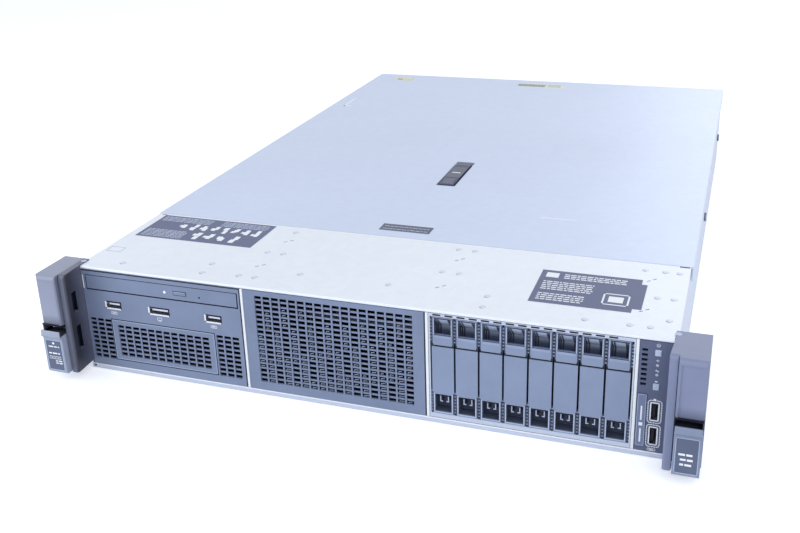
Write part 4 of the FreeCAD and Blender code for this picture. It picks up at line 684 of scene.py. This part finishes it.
def media_bay():
    # Painted shade: the pinhole, the lines round the tray, eject button and bay insert, and the throats
    # of the sockets. Painted highlight: the slit by the tray, the gleams and the socket glints.
    low, high = span("optical_tray")
    face = low.y
    turned("drive_lamp", [(-147.0, face, 74.2)], [(1.1, 0.02), (1.0, -0.12)], "Y", LAMP,
           "optical_tray", 16)
    turned("tray_pinhole", [(-117.8, face, 73.3)], [(0.8, 0.02), (0.75, -0.03)], "Y", BLACK,
           "optical_tray", 12)
    front_marks("tray_slit_highlight", [(-218.7, -217.9, 69.2, 80.0)], FRONT, LIT_EDGE, thick=0.05)
    lines = frame_bars(low.x - 0.6, high.x + 0.7, low.z - 1.0, high.z + 0.5, 0.5)
    lines += [(low.x - 0.6, high.x + 0.7, low.z - 1.0, low.z),
              (high.x, high.x + 0.9, low.z - 1.0, high.z + 0.5), (-219.0, -84.2, 83.9, 84.7)]
    front_marks("tray_shadow_line", lines, FRONT, BLACK)
    front_marks("eject_shade_line", grown("eject_button", 0.5, 0.4), face, BLACK, "optical_tray")
    low, high = span("eject_button")
    gleam = (low.x + 0.3, high.x - 0.3, high.z - 0.35, high.z - 0.1)
    front_marks("eject_gleam", [gleam], low.y, PALE_AND_HIGHLIGHT, "eject_button", 0.01)
    front_marks("insert_shade_line", grown("bay_insert", 0.7, 0.6), FRONT, BLACK)
    front_marks("insert_gleam", grown("bay_insert", -0.2, 0.35), FRONT, PALE_AND_HIGHLIGHT)
    marks = socket_mark(-194.0, 50.9) + socket_mark(-108.0, 50.9)
    marks += frame_bars(-156.0, -152.0, 49.8, 52.2, 0.35) + [(-155.0, -153.0, 49.0, 49.35)]
    front_marks("port_icons", marks, FRONT, INK_AND_HIGHLIGHT, thick=0.06)
    throats, glints, shadows = [], [], []
    for left, wide in FRONT_SOCKETS:
        right = left + wide
        throats.append(((left + 0.6, FRONT + 7.0, 55.0), (right - 0.6, FRONT + 7.4, 59.2)))
        glints += [(left - 0.6, left + 0.7, 53.9, 60.2), (left - 0.6, right, 53.8, 55.0)]
        shadows += [(left + 0.7, right + 0.5, 59.4, 60.6), (right - 0.5, right + 0.6, 54.2, 60.6)]
    blocks("socket_throat_shade", throats, BLACK)
    blocks("socket_glints", [on_front(*bar, FRONT, 0.16) for bar in glints], INK_AND_HIGHLIGHT, "chassis", 0.06, 1)
    front_marks("socket_shadows", shadows, FRONT, BLACK, thick=0.12)


def blank_details(number):
    """Lining of the grip recess with painted light and shade, its ribs and their painted shadows, rims
    and catches as painted highlight, strips, well, groove and notches as painted shade, and the bar's
    painted highlight, of a drive blank.
    """
    node = "drive_blank_%d" % number
    low, high = span(node)
    x0, x1, z0, y0 = low.x, high.x, low.z, low.y
    wall = 1.7
    left, right = x0 + wall, x1 - wall
    grip_low, grip_top = z0 + 61.4, z0 + 73.2
    foot = grip_low + 3.0

    def slope(height, lift):
        return y0 + 9.0 * (grip_top - height) / (grip_top - foot) - lift

    def sheet(near, far):
        """Outline of a thin sheet that follows the back of the grip recess."""
        levels = ((grip_top - 0.6, grip_top - 0.6), (foot, foot), (foot, grip_low - 5.6))
        faces = [[(slope(height, lift), z) for height, z in levels] for lift in (near, far)]
        return faces[0] + faces[1][::-1]

    def uprights(outline, wide, from_left, from_right):
        return [(outline, left + a, left + a + wide) for a in from_left] + \
               [(outline, right - a - wide, right - a) for a in from_right]

    # The lining carries painted light and shade: pale at the top of the grip recess, dark at its foot.
    bars_along_x(node + "_lining", [(sheet(0.16, 0.04), left + 0.03, right - 0.03)], RECESS_LIGHT_AND_SHADE, node)
    ribs = uprights(sheet(0.5, 0.17), 0.45, (1.0, 2.6), (1.0, 2.2))
    bars_along_x(node + "_ribs", ribs, BLANK, node)
    shadows = uprights(sheet(0.3, 0.17), 0.5, (0.4, 2.0), (0.4, 1.6))
    bars_along_x(node + "_rib_shadows", shadows, SEAM_AND_SHADE, node)
    window, window_top, line = z0 + 1.4, z0 + 15.2, 0.75
    rims = [(left - line, left, window - line, window_top + 0.4),
            (right, right + line, window - line, window_top + 0.4),
            (left, right, window - line, window),
            (left - 0.45, left, grip_low, grip_top), (right, right + 0.45, grip_low, grip_top)]
    front_marks(node + "_rim_highlights", rims, y0, PALE_AND_HIGHLIGHT, node, 0.06)
    strips = [(left, right, grip_low - 0.7, grip_low - 0.05), (left, right, grip_top, grip_top + 0.5)]
    strips += [(edge, edge + 0.7, z0 + base, z0 + base + tall) for edge in (x0 + 0.02, x1 - 0.72)
               for base, tall in ((0.4, 16.4), (54.6, 19.4))]
    # Dark strips: painted shade under and over the grip recess and at the blank's sides.
    front_marks(node + "_shade_strips", strips, y0, SEAM_AND_SHADE, node)
    catch, middle = window + 6.4, (x0 + x1) / 2
    faces = []
    for side, _ in SIDES:
        edges = [middle + side * reach for reach in (3.2, 2.4, 1.2)]
        faces += [(*sorted(edges[:2]), catch, catch + 4.6), (*sorted(edges[1:]), catch, catch + 0.8)]
    front_marks(node + "_catch_highlights", faces, y0 + 3.0, PALE_AND_HIGHLIGHT, node, 0.05)
    lines = [(left + 0.8, right - 0.8, window + h, window + h + 0.35) for h in (1.6, 2.9, 4.2)]
    front_marks(node + "_well_lines", lines, y0 + 6.88, BLANK, node, 0.2)
    back = ((left + 0.02, y0 + 6.9, window + 0.02), (right - 0.02, y0 + 6.98, window_top - 0.02))
    blocks(node + "_well", [back], SEAM_AND_SHADE, node)
    groove = ((x0 + 0.02, y0 + 0.5, z0 + 52.05), (x1 - 0.02, y0 + 0.58, z0 + 53.25))
    notches = [on_front(a, b, z0 + 53.3, z0 + 54.6, y0, 0.02)
               for a, b in ((x0 + 0.02, x0 + 1.0), (x1 - 1.0, x1 - 0.02))]
    # The groove and the notches painted black as shade.
    blocks(node + "_shade_faces", [groove] + notches, BLACK, node)
    # Painted highlight on the bar under the grip recess.
    gleam = (left, right, grip_low - 2.6, grip_low - 0.9)
    front_marks(node + "_bar_gleam", [gleam], y0, BAR_HIGHLIGHT, node, 0.03)


def drive_bay():
    """The gaps between the blanks lined black as painted shade, their guide teeth pale with painted
    highlight, and the slotted edge over them, its slots painted black as shade.
    """
    edges = [span("drive_blank_%d" % k) for k in BLANKS]
    cage_low, cage_high = span("drive_cage")
    lefts = [cage_low.x + 1.1] + [high.x + 0.15 for low, high in edges]
    rights = [low.x - 0.15 for low, high in edges] + [cage_high.x - 1.1]
    z0, z1 = edges[0][0].z, edges[0][1].z
    shade_liners, teeth = [], []
    for left, right in zip(lefts, rights):
        shade_liners.append(((left, FRONT + 4.4, z0), (right, FRONT + 4.8, z1)))
        for base in (z0 + 1.2, z0 + 56.0):
            for low in [base + 2.5 * k for k in range(7)]:
                teeth.append(((left, FRONT + 0.9, low), (right, FRONT + 4.4, low + 0.8)))
    blocks("gap_shade_liners", shade_liners, BLACK)
    blocks("guide_teeth", teeth, PALE_AND_HIGHLIGHT)
    slots = []
    place = cage_low.x + 3.0
    while place < cage_high.x - 9.0:
        slots.append((place, place + 5.6, cage_high.z - 1.7, cage_high.z - 0.5))
        place += 8.4
    front_marks("cage_slot_shade", slots, cage_low.y, BLACK)


def grille_glints():
    """Bright edges in the lower left corners of the grille's air slots."""
    low, high = span("grille_panel")
    slots, pitch_x, pitch_z, slot_width, bottom = 18, 6.7, 3.95, 5.4, 11.1
    left = (low.x + high.x) / 2 - ((slots - 1) * pitch_x + slot_width) / 2
    shapes = []
    for column in range(slots):
        for row in range(slots):
            reach = abs(math.sin(1.7 * column + 2.9 * row)) * (0.35 + 0.65 * (1 - row / slots))
            if reach < 0.45:
                continue
            x, z = left + pitch_x * column + 0.9, bottom + pitch_z * row
            end = x + 0.6 + 3.4 * reach
            shapes.append([(x, z + 0.05), (x + 0.34, z + 0.05), (x + 0.34, z + 0.85), (end, z + 0.85),
                           (end, z + 1.2), (x, z + 1.2)])
    front_shapes("grille_glints", shapes, FRONT + 1.3, PALE_AND_HIGHLIGHT, thick=0.05)


def bay_shade_films():
    """Black film behind the bays as painted shade, dark lines of painted shade beside the dividers, and
    painted highlight on the dividers' edges and the sill.
    """
    boxes = [((-219.0, FRONT + 2.6, 1.22), (219.0, FRONT + 128.0, 1.32)),
             ((-219.0, FRONT + 3.0, 85.2), (219.0, FRONT + 112.0, 85.32))]
    low, high = span("grille_panel")
    boxes += [((x, FRONT + 2.6, 1.5), (x + 0.1, FRONT + 108.0, 84.0))
              for x in (low.x - 0.16, high.x + 0.04, low.x - 2.3, -220.0, 219.8)]
    blocks("bay_shade_films", boxes, SHADE_FILM)
    ends = [span(node)[1].x for node in ("media_bezel", "grille_panel", "drive_cage")]
    seams = [(end - 0.75, end - 0.02, 4.4, 84.6) for end in ends[:2]]
    front_marks("divider_shade_lines", seams, FRONT, BLACK)
    edges = [(end + 0.3, end + 2.1, 4.3, 84.9) for end in ends] + [(-221.0, 221.0, 3.1, 4.1)]
    front_marks("edge_highlights", edges, FRONT, INK_AND_HIGHLIGHT, thick=0.03)


CONTROL_ICONS = (
    (208.9, 210.3, 81.2, 81.5), (208.5, 208.8, 81.5, 83.0), (210.4, 210.7, 81.5, 83.0),
    (209.45, 209.75, 82.2, 83.6), (208.6, 210.8, 71.3, 71.6), (209.5, 209.9, 70.6, 72.3),
    (208.4, 210.9, 64.0, 64.3), (209.0, 209.4, 64.3, 65.1), (210.0, 210.4, 63.2, 64.0),
    (208.8, 210.5, 56.1, 56.9), *frame_bars(206.6, 212.0, 5.1, 6.9, 0.35), (208.0, 210.6, 5.8, 6.2),
    (208.8, 210.4, 42.6, 43.9))


def control_marks():
    """Icons, lamps and socket outlines of the control panel, the sockets' throats painted black as
    shade, and the lines and the painted highlight round the pull-out tab.
    """
    face = span("control_panel")[0].y
    front_marks("control_icons", CONTROL_ICONS, face, INK_AND_HIGHLIGHT, thick=0.06)
    lamps = [(209.7, face, z) for z in (68.1, 61.3)]
    turned("status_lamps", lamps, [(1.0, 0.0), (0.9, -0.2)], "Y", BUTTON, sides=16)
    throats, outlines = [], []
    for z in (9.8, 27.8):
        throats += [((207.7, FRONT + 7.0, z + 0.5), (212.1, FRONT + 7.4, z + 12.7)),
                    ((208.35, FRONT + 1.95, z + 1.55), (210.25, FRONT + 12.9, z + 11.65))]
        outlines += rounded_line(206.9, 212.9, z - 0.3, z + 13.5, 0.9, 0.42, 20.0)
        outlines += rounded_line(205.3, 214.5, z - 1.9, z + 15.1, 2.2, 0.6, 1.5, 0.35)
    blocks("upright_throat_shade", throats, BLACK)
    front_shapes("upright_outlines", outlines, face, INK_AND_HIGHLIGHT, thick=0.07)
    low, high = span("pull_tab")
    middle = (low.x + high.x) / 2
    lines = [(middle - half, middle + half, z0, z1)
             for half, z0, z1 in ((0.5, 27.5, 37.9), (0.5, 11.1, 21.2), (1.2, 23.3, 25.7))]
    front_marks("tab_lines", lines, low.y, INK_AND_HIGHLIGHT, "pull_tab", 0.06)
    front_marks("tab_rim_highlight", grown("pull_tab", -0.1, 0.3), low.y, PALE_AND_HIGHLIGHT, "pull_tab", 0.03)


def ear_details(side, name):
    """Black linings of painted shade in the notches of an ear's inner face and in the finger recess over
    its lever; edge strips, painted highlight on the right ear and painted shade on the left; a cheek,
    and a cap, pale with painted highlight.
    """
    low, high = span("ear_" + name)
    inner, outer = (low.x, high.x) if side > 0 else (high.x, low.x)

    def across(near, far):
        return sorted((inner + side * near, inner + side * far))

    y0, y1 = FRONT - 15.8, FRONT - 10.2
    linings, edge_tones = [], []
    for z0, z1 in ((24.0, 43.5), (55.0, 71.5)):
        a, b = across(3.5, 3.9)
        linings.append(((a, y0 + 0.05, z0 + 0.05), (b, y1 - 0.05, z1 - 0.05)))
        a, b = across(0.0, 3.4)
        linings += [((a, near, z0), (b, far, z1)) for near, far in ((y0, y0 + 0.1), (y1 - 0.1, y1))]
        a, b = across(0.05, 0.6)
        edge_tones += [((a, y1 - 0.35, z0), (b, y1 - 0.12, z1)),
                   ((a, y0 + 0.1, z0 + 0.02), (b, y1 - 0.3, z0 + 0.5))]
    blocks("ear_%s_linings" % name, linings, BLACK)
    blocks("ear_%s_gleams" % name, edge_tones, PALE_AND_HIGHLIGHT if side > 0 else BADGE)
    a, b = sorted((side * 224.0, outer - side * 0.25))
    wall = [(-13.62, 40.5), (-13.62, 45.9), (-13.74, 45.9), (-13.74, 40.5)]
    roof = [(-13.8, 45.85), (-25.8, 48.2), (-25.8, 48.08), (-13.8, 45.73)]
    hem = [(-25.9, 48.3), (-25.6, 46.9), (-24.8, 46.5), (-14.2, 45.7), (-14.0, 45.9)]
    cheek = [(-25.4, 41.3), (-13.7, 41.3), (-13.7, 46.0), (-25.4, 48.2)]
    wall, roof, hem, cheek = [[(FRONT + y, z) for y, z in outline]
                              for outline in (wall, roof, hem, cheek)]
    bars_along_x("ear_%s_scoop" % name, [(wall, a, b), (roof, a, b), (hem, a, b)], BLACK)
    a, b = sorted((outer - side * 0.9, outer - side * 0.2))
    bars_along_x("ear_%s_cheek" % name, [(cheek, a, b)], EAR if side > 0 else LIT_EAR_LEFT)
    cap = [(2.2, 0.0), (2.1, 0.1), (1.6, 0.14)]
    turned("ear_%s_cap" % name, [(side * 220.8, FRONT + 7.5, high.z)], cap, "Z", PALE_AND_HIGHLIGHT, sides=20)


def lever_details(side, name):
    """Plate with plain blocks in place of print, its rim as painted highlight, lip, and a black curb of
    painted shade behind the lip, of a release lever.
    """
    body = "release_lever_" + name
    low, high = span(body)
    face = FRONT - 27.4
    x0, x1, z0, z1 = low.x + 1.7, high.x - 1.7, 10.6, 35.4
    plate_thick = 0.08
    blocks("lever_%s_plate" % name, [on_front(x0, x1, z0, z1, face, plate_thick)], BADGE, body, 0.05, 1)
    rim = rounded_line(x0 - 0.4, x1 + 0.4, z0 - 0.4, z1 + 0.4, 1.2, 0.45)
    front_shapes("lever_%s_rim" % name, rim, face, PALE_AND_HIGHLIGHT, body, 0.16)
    lip = [(-2.0, 40.2), (-2.0, 43.6), (-1.6, 44.2), (-0.6, 44.2), (-0.1, 43.4), (0.0, 40.2)]
    curb = [(0.2, 40.3), (0.2, 43.2), (1.2, 42.8), (11.4, 42.4), (11.4, 40.3)]
    lip, curb = [[(face + y, z) for y, z in outline] for outline in (lip, curb)]
    a, b = sorted((side * 224.2, side * 240.7))
    bars_along_x("lever_%s_lip" % name, [(lip, a, b)], LIT_LEVER_LEFT if side < 0 else LEVER, body, 0.3)
    a, b = sorted((side * 239.6, side * 240.2))
    bars_along_x("lever_%s_curb" % name, [(curb, a, b)], BLACK, body)
    if side < 0:
        bars = [(x0 + 5.6, x0 + 7.6, 32.4, 34.0)]
        bars += text_rows(x0 + 2.0, x1 - 2.0, 29.8, 1.0, 1, 1.0, 1.7)
        bars += text_rows(x0 + 1.4, x1 - 2.2, 24.0, 1.0, 1, 1.2, 0.4)
        for k in range(4):
            bars += frame_bars(x0 + 1.4 + 2.7 * k, x0 + 3.6 + 2.7 * k, 19.6, 22.2, 0.4)
        bars += text_rows(x1 - 7.0, x1 - 1.2, 15.8, 1.9, 2, 1.0, 2.9)
    else:
        bars = []
        for z, half in ((23.2, 5.0), (19.6, 3.8), (16.0, 4.0)):
            bars += text_rows((x0 + x1) / 2 - half, (x0 + x1) / 2 + half, z, 1.0, 1, 1.5, z)
    front_marks("lever_%s_print" % name, bars, face - plate_thick, INK_AND_HIGHLIGHT, body, 0.03)


# ---------------------------------------------------------------- rear

def polygon(x, z, radius, sides=6, turn=0.0):
    angles = [turn + 2 * math.pi * k / sides for k in range(sides)]
    return [(x + radius * math.cos(a), z + radius * math.sin(a)) for a in angles]


def vent_holes(x0, x1, z0, z1, radius, pitch):
    """Six-sided holes in staggered rows that fill a rectangle."""
    holes = []
    row_pitch = pitch * 0.87
    for row in range(int((z1 - z0 - 2 * radius) / row_pitch) + 1):
        shift = pitch / 2 if row % 2 else 0.0
        count = int((x1 - x0 - 2 * radius - shift) / pitch) + 1
        level = z0 + radius + row_pitch * row
        holes += [polygon(x0 + radius + shift + pitch * k, level, radius, 6, math.pi / 6)
                  for k in range(count)]
    return holes


def hollow_lining(x0, x1, z0, z1, near, deep):
    """Floor, roof, sides and back of a socket, as thin boxes that carry painted shade: near and deep are
    Y.
    """
    t = 0.1
    return [((a, deep, c), (b, near, d)) for a, b, c, d in frame_bars(x0, x1, z0, z1, t)] + \
        [((x0, deep, z0), (x1, deep + t, z1))]


def rear_marks(name, bars, material, body, thick):
    """Boxes standing on the rear plane."""
    blocks(name, [((a, REAR, c), (b, REAR + thick, d)) for a, b, c, d in bars], material, body)


def rear_ports():
    """Black linings of painted shade, contacts, lamps and marks of the sockets in the rear panel; the
    video port's holes and threads painted black as shade.
    """
    floor = span("rear_sockets")[0].z
    bottom, top = floor + 1.05, floor + 11.95
    linings, contacts, lamps, tongues = [], [], [], []
    for left in (-10, 16, 34, 52, 70):
        linings += hollow_lining(left + 1.05, left + 14.95, bottom, top, REAR - 0.8, REAR - 9.9)
        for x in [left + 4.1 + 1.02 * k for k in range(8)]:
            contacts.append(((x, REAR - 8.5, floor + 1.6), (x + 0.4, REAR - 2.0, floor + 1.9)))
        lamps += [((left + x, REAR - 1.2, floor + 10.4), (left + x + 2.6, REAR - 0.6, floor + 11.8))
                  for x in (1.2, 12.2)]
    for low in (0.0, 7.5):
        linings += hollow_lining(-28.95, -18.05, bottom + low, floor + low + 4.95,
                                 REAR - 0.8, REAR - 9.9)
        tongues.append(((-27.6, REAR - 9.0, floor + low + 2.9), (-19.4, REAR - 1.4, floor + low + 4.2)))
    blocks("rear_port_shade_linings", linings, BLACK)
    blocks("rear_port_contacts", contacts, CONTACT)
    blocks("rear_port_lamps", lamps, LAMP)
    blocks("rear_port_tongues", tongues, BLUE)
    centre, level = -52.5, floor + 6.5
    blocks("video_port_plate", [((-66.9, REAR - 1.2, bottom), (-38.1, REAR - 0.8, top))], SHELL)
    wedge = [(centre + x, level + z) for x, z in ((-8.6, 3.9), (8.6, 3.9), (7.2, -3.9), (-7.2, -3.9))]
    front_shapes("video_port", [wedge], REAR - 0.8, BLUE, thick=-0.5)
    pins = [polygon(centre - 5.6 + 2.8 * k + shift, level + z, 0.6)
            for z, shift in ((2.4, 0.0), (0.0, -0.7), (-2.4, 0.0)) for k in range(5)]
    front_shapes("video_port_hole_shade", pins, REAR - 0.3, BLACK, thick=-0.03)
    nuts = [centre - 12.2, centre + 12.2]
    rims = [polygon(x, level, 2.2) for x in nuts]
    front_shapes("video_port_nuts", rims, REAR - 0.8, SCREW, thick=-0.7)
    threads = [polygon(x, level, 1.1, 10) for x in nuts]
    front_shapes("video_port_thread_shade", threads, REAR - 0.1, BLACK, thick=-0.02)


def rear_vents():
    """Vents of the slot covers and of the rear panel, as holes painted black as shade, and the screws
    that hold the slot covers.
    """
    screws = []
    for number in (1, 2):
        low, high = span("riser_cage_%d" % number)
        holes = []
        for base in [26.0 + 20.3 * k for k in range(3)]:
            holes += vent_holes(low.x + 24.0, low.x + 112.0, base + 1.6, base + 11.0, 1.15, 3.1)
            screws.append((low.x + 15.5, span("riser_cage_1")[1].y, base + 6.2))
        front_shapes("slot_vents_%d" % number, holes, high.y, BLACK, thick=-0.03)
    head = [(2.6, 0.0), (2.6, 0.9), (2.1, 1.1), (0.8, 1.1), (0.7, 0.6)]
    turned("slot_screws", screws, head, "Y", SCREW, sides=18)
    holes = vent_holes(-212.0, -82.0, 47.0, 80.0, 1.6, 4.3)
    front_shapes("panel_vent_shade", holes, REAR, BLACK, thick=-0.03)


def supply_details(number):
    """Inlet with its three blades and a black lining of painted shade, exhaust holes painted black as
    shade, lamp and seams of a power supply.
    """
    body = "power_supply_%d" % number
    low = span(body)[0]
    x0, z0 = low.x, low.z
    lining = hollow_lining(x0 + 5.05, x0 + 29.35, z0 + 11.05, z0 + 27.95, REAR - 0.2, REAR - 14.9)
    lining += [((x0 + 15.0 + x, REAR - 14.9, z0 + z - 1.6), (x0 + 17.1 + x, REAR - 13.0, z0 + z + 5.6))
               for x, z in ((-1, 21), (-8, 15), (6, 15))]
    # The inlet's black lining is painted shade.
    blocks(body + "_inlet", lining, BLACK, body)
    rim = frame_bars(x0 + 3.8, x0 + 30.6, z0 + 9.8, z0 + 29.2, 1.2)
    rear_marks(body + "_inlet_rim", rim, BLACK, body, 0.5)
    holes = []
    grids = ((4.0, 66.0, 1.4, 9.0), (4.0, 38.0, 30.6, 38.6), (40.0, 61.0, 12.6, 25.6))
    for left, right, bottom, top in grids:
        holes += vent_holes(x0 + left, x0 + right, z0 + bottom, z0 + top, 1.1, 3.0)
    # Black holes: painted shade.
    front_shapes(body + "_vents", holes, REAR, BLACK, body, -0.03)
    lamp = [(1.5, 0.0), (1.4, 0.35), (0.9, 0.5)]
    turned(body + "_lamp", [(x0 + 34.2, REAR, z0 + 26.0)], lamp, "Y", LAMP, body, 18)
    seams = [(x0 + 0.4, x0 + 69.6, z0 + 39.0, z0 + 39.3), (x0 + 0.4, x0 + 0.7, z0 + 0.4, z0 + 39.2),
             (x0 + 69.3, x0 + 69.6, z0 + 0.4, z0 + 39.2)]
    rear_marks(body + "_seams", seams, SEAM_AND_SHADE, body, 0.04)


# ---------------------------------------------------------------- inside

MODULES = [left + 9.6 * k for left in (-200.0, -44.0, 11.4, 167.4) for k in range(4)]
CHIPS = ((-60, -140, 46, 7, 9), (20, -140, 46, 7, 9), (-196, -146, 30, 9, 8), (150, -146, 42, 9, 8),
         (-14, -118, 28, 28, 1.8), (-60, 100, 22, 22, 1.8), (60, 124, 14, 14, 1.4), (-8, 118, 9, 9, 6.5),
         (40, 132, 30, 5, 6), (160, 120, 34, 6, 7), (-202, 88, 30, 9, 8))    # x, y, wide, deep, tall


def board_parts():
    """Chokes, capacitors, chips, headers and clips on the main board."""
    top = span("heat_sink_1")[0].z
    chokes, chips, clips, pads, cans = [], [], [], [], []
    for side, _ in SIDES:
        middle = side * 96.0
        for k in range(8):
            x = middle - 42.5 + 11.0 * k
            chokes.append(((x, -78.0, top), (x + 8.0, -70.0, top + 5.6)))
            cans += [(x + 4.0, y, top) for y in ((-86.0, 86.0) if k % 2 else (-86.0,))]
        chips.append(((middle - 18.0, 96.0, top), (middle + 2.0, 116.0, top + 1.6)))
    chips += [((x, y, top), (x + wide, y + deep, top + tall)) for x, y, wide, deep, tall in CHIPS]
    low, high = span("memory_modules")
    for x in MODULES:
        clips += [((x - 1.0, y, top), (x + 4.8, y + 4.0, top + 17.0))
                  for y in (low.y - 4.2, high.y + 0.2)]
        pads.append(((x - 1.4, low.y - 4.4, top), (x + 5.2, high.y + 4.4, top + 0.9)))
    blocks("board_chokes", chokes, CASE, bevel=0.6)
    blocks("board_chips", chips, BLACK, bevel=0.3, segments=1)
    blocks("module_clips", clips, BUTTON, bevel=0.6)
    blocks("module_sockets", pads, BLACK)
    can = [(3.1, 0.0), (3.1, 1.0), (2.9, 1.2), (3.1, 1.5), (3.1, 8.0), (2.8, 8.3)]
    turned("board_cans", cans, can, "Z", SHELL, sides=16)
    marks = [on_top(x, x + 1.6, y, y + 1.6, top + z, 0.02)
             for x, y, z in ((-12, -116, 1.8), (-58, 102, 1.8), (62, 126, 1.4))]
    blocks("chip_marks", marks, INK_AND_HIGHLIGHT)
    rows = [low.y + 5.0 + 14.0 * m for m in range(9)]
    blocks("module_chips", [((x - 0.9, y, top + 13.0), (x - 0.02, y + 9.0, top + 27.0))
                            for x in MODULES for y in rows], BLACK)


def fan_marks():
    """Touch points on top of the fans."""
    points = []
    for low, high in [span("fan_%d" % number) for number in FANS]:
        middle = (low.x + high.x) / 2
        points.append(on_top(middle - 6.0, middle + 6.0, high.y - 9.0, high.y - 2.0, high.z, 0.4))
    blocks("fan_touch_points", points, BLUE, "chassis", 0.1, 1)


cover_label_left()
cover_label_right()
panel_labels()
cover_marks()
cover_rivets()
latch_details()
stud_caps()
rear_ports()
rear_vents()
for number in (1, 2):
    supply_details(number)
board_parts()
fan_marks()
for node in ("ear_left", "ear_right", "release_lever_left", "release_lever_right"):
    soften(frame["nodes"][node], 0.9, 3)
media_bay()
for number in BLANKS:
    blank_details(number)
drive_bay()
grille_glints()
bay_shade_films()
control_marks()
for side, name in SIDES:
    ear_details(side, name)
    lever_details(side, name)


# ---------------------------------------------------------------- stage, light and camera

def seen_rays(tree):
    """1 for the rays that show a plain white: from the camera, off gloss and through glass."""
    ray = add_node(tree, "LightPath")
    seen = ray.outputs["Is Camera Ray"]
    for other in ("Is Glossy Ray", "Is Transmission Ray"):
        both = add_node(tree, "Math", links={0: seen, 1: ray.outputs[other]})
        both.operation = "MAXIMUM"
        seen = both.outputs[0]
    return seen


def floor_material():
    """A white studio floor: seen as white, yet it keeps the object's shadow."""
    material = bpy.data.materials.new("studio_floor")
    material.use_nodes = True
    tree = material.node_tree
    tree.nodes.clear()
    paint = add_node(tree, "BsdfDiffuse", {"Color": (0.86, 0.88, 0.93, 1)}).outputs[0]
    glow = add_node(tree, "Emission", {"Color": WHITE, "Strength": 0.42}).outputs[0]
    both = add_node(tree, "AddShader", links={0: paint, 1: glow}).outputs[0]
    pick = add_node(tree, "MixShader", links={"Fac": seen_rays(tree), 1: paint, 2: both})
    add_node(tree, "OutputMaterial", links={"Surface": pick.outputs[0]})
    return material


def world_light():
    world = bpy.data.worlds.new("studio")
    bpy.context.scene.world = world
    world.use_nodes = True
    tree = world.node_tree
    tree.nodes.clear()
    light = add_node(tree, "Background", {"Color": (0.86, 0.92, 1.0, 1), "Strength": 0.62}).outputs[0]
    white = add_node(tree, "Background", {"Color": WHITE, "Strength": 1.0}).outputs[0]
    pick = add_node(tree, "MixShader", links={"Fac": seen_rays(tree), 1: light, 2: white})
    add_node(tree, "OutputWorld", links={"Surface": pick.outputs[0]})


def studio_floor(half, height):
    mesh = bpy.data.meshes.new("studio_floor")
    corners = [(-half, -half), (half, -half), (half, half), (-half, half)]
    mesh.from_pydata([(x, y, height) for x, y in corners], [], [(0, 1, 2, 3)])
    mesh.materials.append(floor_material())
    plane = bpy.data.objects.new("studio_floor", mesh)
    bpy.context.scene.collection.objects.link(plane)


def soft_lamp(name, place, target, size, power, colour):
    data = bpy.data.lights.new(name, "AREA")
    data.shape = "RECTANGLE"
    data.size, data.size_y = size
    data.energy = power
    data.color = colour
    lamp = bpy.data.objects.new(name, data)
    bpy.context.scene.collection.objects.link(lamp)
    lamp.location = place
    lamp.rotation_euler = (Vector(target) - Vector(place)).to_track_quat("-Z", "Y").to_euler()


studio_floor(30.0, cad_box[0].z - 0.0005)
world_light()
soft_lamp("key", (1.1, -1.5, 1.5), (0.0, -0.1, 0.05), (2.0, 1.6), 17.0, (1.0, 0.99, 0.97))
soft_lamp("fill", (-1.5, -1.3, 0.9), (-0.1, -0.3, 0.05), (1.6, 1.4), 15.0, (0.9, 0.95, 1.0))
soft_lamp("back", (0.7, 2.2, 1.0), (0.1, 0.1, 0.05), (1.6, 1.0), 8.0, (0.95, 0.97, 1.0))

eye = bpy.data.cameras.new("camera")
eye.lens = 44.357
eye.sensor_width = 36.0
eye.shift_y = -0.06
eye.clip_end = 100.0
camera = bpy.data.objects.new("camera", eye)
bpy.context.scene.collection.objects.link(camera)
camera.location = (0.2443, -0.9073, 0.3795)
camera.rotation_euler = Euler([math.radians(a) for a in (69.228, 1.679, 19.112)], "XYZ")
bpy.context.scene.camera = camera
bpy.context.scene.view_settings.view_transform = "Standard"
